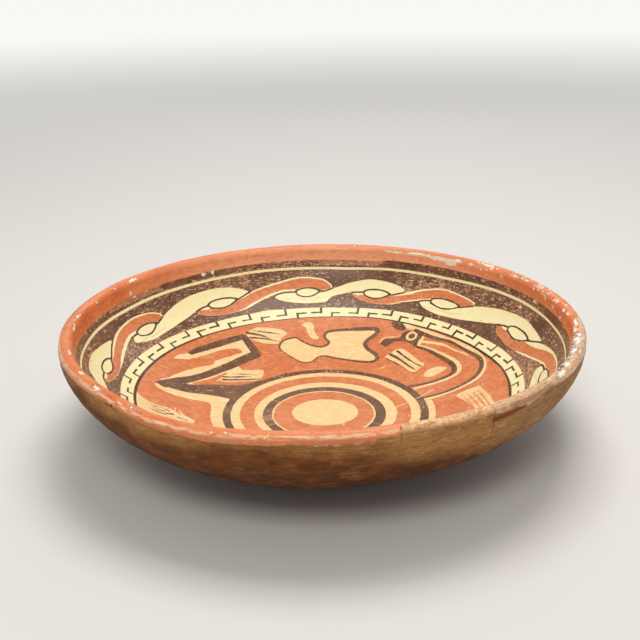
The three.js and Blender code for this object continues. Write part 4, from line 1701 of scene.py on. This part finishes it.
def broken_clay(colours):
    """The inside of the clay, which a break lays bare."""
    f = Finish("broken_clay")
    grit = f.noise(f.place(), 0.8, 4, 0.7)
    tone = f.mix(grit.above(0.55, 0.1), colours.brown_clay, colours.dark_clay)
    f.set(Base_Color=tone, Roughness=0.75 + (grit - 0.5) * 0.3, Normal=f.bump(grit * 0.3))
    return f.data


# Operators


def dress(piece, node, slot, *finishes):
    """Puts a piece in its node's place, with the finish of its skin and of its broken faces."""
    piece.data.materials.clear()
    for finish in finishes:
        piece.data.materials.append(finish)
    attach(piece, "root")
    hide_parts(node)


def shape_and_colours(context):
    """The bowl's shape and its colours."""
    return in_mm(context.scene.bowl_shape), in_mm(context.scene.bowl_colours)


class BOWL_OT_body(Operator):
    """Makes the clay body of the bowl, with its painted inside"""

    bl_idname = "bowl.body"
    bl_label = "Bowl Body"

    def execute(self, context):
        shape, colours = shape_and_colours(context)
        cutter = region(LONG_BREAK)
        for other in (region(FILL_EDGE), band(LONG_BREAK, shape.seam), chip_plug()):
            combine(cutter, other, "UNION")
        piece = clay_piece("painted_bowl_body", shape, cutter, "DIFFERENCE")
        finishes = (pottery("painted_slip", colours), broken_clay(colours))
        dress(piece, "bowl_body", "painted_pottery", *finishes)
        return {"FINISHED"}


class BOWL_OT_sherds(Operator):
    """Makes the two sherds that were broken off and set back"""

    bl_idname = "bowl.sherds"
    bl_label = "Sherds"

    def execute(self, context):
        shape, colours = shape_and_colours(context)
        front = region(LONG_BREAK_FRONT, SHORT_BREAK[::-1][1:])
        front = without(front, band(LONG_BREAK, shape.seam), band(SHORT_BREAK, shape.seam))
        piece = clay_piece("front_sherd", shape, front, "INTERSECT")
        finishes = (pottery("worn_slip", colours), broken_clay(colours))
        dress(piece, "front_rim_sherd", "worn_pottery", *finishes)
        right = without(region(SHORT_BREAK[:-1], LONG_BREAK_BACK), region(FILL_EDGE))
        right = without(right, band(LONG_BREAK, shape.seam), band(SHORT_BREAK, shape.seam))
        piece = clay_piece("right_sherd", shape, right, "INTERSECT")
        finishes = (pottery("toned_slip", colours), broken_clay(colours))
        dress(piece, "right_rim_sherd", "toned_pottery", *finishes)
        return {"FINISHED"}


class BOWL_OT_fills(Operator):
    """Makes the plaster fills in the lip"""

    bl_idname = "bowl.fills"
    bl_label = "Plaster Fills"

    def execute(self, context):
        shape, colours = shape_and_colours(context)
        finishes = (pottery("fill_plaster", colours), broken_clay(colours))
        piece = clay_piece("right_fill", shape, region(FILL_EDGE), "INTERSECT")
        dress(piece, "right_rim_fill", "fill_plaster", *finishes)
        piece = clay_piece("left_fill", shape, chip_plug(), "INTERSECT")
        dress(piece, "left_rim_fill", "fill_plaster", *finishes)
        return {"FINISHED"}


class BOWL_OT_seams(Operator):
    """Makes the filler in the two breaks"""

    bl_idname = "bowl.seams"
    bl_label = "Mended Seams"

    def execute(self, context):
        shape, colours = shape_and_colours(context)
        finishes = (pottery("seam_filler", colours, seam=True), broken_clay(colours))
        long_cutter = without(band(LONG_BREAK, shape.seam), region(FILL_EDGE))
        piece = clay_piece("long_seam", shape, long_cutter, "INTERSECT", shape.groove)
        dress(piece, "long_mend_seam", "seam_filler", *finishes)
        short_cutter = without(band(SHORT_BREAK, shape.seam), band(LONG_BREAK, shape.seam))
        piece = clay_piece("short_seam", shape, short_cutter, "INTERSECT", shape.groove / 2)
        dress(piece, "short_mend_seam", "seam_filler", *finishes)
        return {"FINISHED"}


class BOWL_OT_stage(Operator):
    """Sets up the floor, the light and the camera"""

    bl_idname = "bowl.stage"
    bl_label = "Stage"

    def execute(self, context):
        view = in_mm(context.scene.bowl_view)
        make_floor()
        make_lights(context.scene, view)
        make_camera(context.scene, view)
        context.scene.view_settings.view_transform = "Standard"
        return {"FINISHED"}


FLOOR_REACH = 12.0  # m from the bowl to the end of the level floor
FLOOR_COLOUR = (0.79, 0.78, 0.76)
FAR_GLOW = (0.66, 0.655, 0.645)  # what the far floor lacks of the near floor's paleness
GLOW_START, GLOW_FULL = 0.15, 3.0  # m from the bowl over which that is given back


def make_floor():
    """A pale level floor that stays as pale far behind the bowl as it is near it."""
    reach = FLOOR_REACH / MM
    corners = [(-reach, -reach, 0), (reach, -reach, 0), (reach, reach, 0), (-reach, reach, 0)]
    floor = mesh_object("studio_floor", corners, [(0, 1, 2, 3)])
    f = Finish("studio_floor")
    at = f.node("ShaderNodeTexCoord").out("Object")
    away = f.vectors("LENGTH", at).out("Value")
    steps = {0: away, 1: GLOW_START, 2: GLOW_FULL}
    far = f.node("ShaderNodeMapRange", {"interpolation_type": "SMOOTHSTEP"}, steps).out()
    seen = f.node("ShaderNodeLightPath").out("Is Camera Ray")
    glow = f.mix(far * seen, (0, 0, 0), FAR_GLOW)
    f.set(Base_Color=(*FLOOR_COLOUR, 1), Roughness=0.7, Specular_IOR_Level=0.2)
    f.set(Emission_Color=glow, Emission_Strength=1.0)
    floor.data.materials.append(f.data)


# Softboxes: a name, a place and two sizes in mm, the setting that holds the power, and a colour
SOFTBOXES = (
    ("overhead_light", (60, 160, 950), (520, 420), "key_power", (1.0, 0.97, 0.92)),
    ("front_light", (-120, -880, 1010), (520, 380), "front_power", (1.0, 0.97, 0.93)),
    ("back_strip", (120, 1000, 620), (900, 90), "strip_power", (1.0, 0.98, 0.95)),
)
BOWL_MIDDLE = (0, 0, 20)
SKY_COLOUR = (1.0, 0.985, 0.96)


def softbox(name, place, size, power, colour):
    """A light of two sizes in millimetres that faces the middle of the bowl."""
    light = bpy.data.lights.new(name, "AREA")
    light.shape = "RECTANGLE"
    light.size, light.size_y = size[0] * MM, size[1] * MM
    light.energy = power
    light.color = colour
    lamp = bpy.data.objects.new(name, light)
    lamp.location = Vector(place) * MM
    aim = Vector(BOWL_MIDDLE) - Vector(place)
    lamp.rotation_euler = aim.to_track_quat("-Z", "Y").to_euler()
    bpy.context.scene.collection.objects.link(lamp)


def make_lights(scene, view):
    """The softboxes, and an even light all round."""
    for name, place, size, power, colour in SOFTBOXES:
        softbox(name, place, size, getattr(view, power), colour)
    world = bpy.data.worlds.new("studio")
    world.use_nodes = True
    sky = world.node_tree.nodes["Background"].inputs
    sky["Color"].default_value = (*SKY_COLOUR, 1)
    sky["Strength"].default_value = view.sky
    scene.world = world


SENSOR = 36.0  # width in mm
PICTURE = 640  # width and height in pixels
SIGHT = 100  # m


def make_camera(scene, view):
    """The camera, fitted to the bowl's outline and rings."""
    lens = bpy.data.cameras.new("camera")
    lens.sensor_width = SENSOR
    lens.lens = view.focal_length
    lens.clip_end = SIGHT
    camera = bpy.data.objects.new("camera", lens)
    scene.collection.objects.link(camera)
    back = Vector((0, -math.cos(view.elevation), math.sin(view.elevation)))
    right = Vector((1, 0, 0))
    up = right.cross(-back)
    focal = view.focal_length / SENSOR * PICTURE
    across, down = view.aim_x - PICTURE / 2, view.aim_y - PICTURE / 2
    aim = Vector((across / focal, -down / focal, -1)).normalized()
    swing = Vector((0, 0, -1)).rotation_difference(aim).to_matrix()
    roll = Matrix.Rotation(view.roll, 3, "Z")
    to_camera = roll @ swing @ Matrix((right, up, back))
    place = Vector((0, 0, HEIGHT)) + back * view.distance
    camera.matrix_world = Matrix.Translation(place * MM) @ to_camera.transposed().to_4x4()
    scene.camera = camera


class BOWL_PT_panel(Panel):
    """The bowl's sizes and colours, and the buttons that build it"""

    bl_label = "Mended Bowl"
    bl_idname = "BOWL_PT_panel"
    bl_space_type = "VIEW_3D"
    bl_region_type = "UI"
    bl_category = "Bowl"

    def draw(self, context):
        for group in (context.scene.bowl_shape, context.scene.bowl_colours, context.scene.bowl_view):
            box = self.layout.box()
            for name in group.__annotations__:
                box.prop(group, name)
        for operator in OPERATORS:
            self.layout.operator(operator.bl_idname)


GROUPS = {"bowl_shape": BowlShape, "bowl_colours": BowlColours, "bowl_view": BowlView}
OPERATORS = (BOWL_OT_body, BOWL_OT_sherds, BOWL_OT_fills, BOWL_OT_seams, BOWL_OT_stage)


def register():
    """Makes the classes and the settings known to Blender."""
    for cls in (*GROUPS.values(), *OPERATORS, BOWL_PT_panel):
        bpy.utils.register_class(cls)
    for name, group in GROUPS.items():
        setattr(bpy.types.Scene, name, PointerProperty(type=group))


def unregister():
    """Takes them away again."""
    for name in GROUPS:
        delattr(bpy.types.Scene, name)
    for cls in reversed((*GROUPS.values(), *OPERATORS, BOWL_PT_panel)):
        bpy.utils.unregister_class(cls)


def main():
    """Builds the stage and the pieces."""
    register()
    bpy.ops.bowl.stage()
    bpy.ops.bowl.body()
    bpy.ops.bowl.sherds()
    bpy.ops.bowl.fills()
    bpy.ops.bowl.seams()


if __name__ == "__main__":
    main()
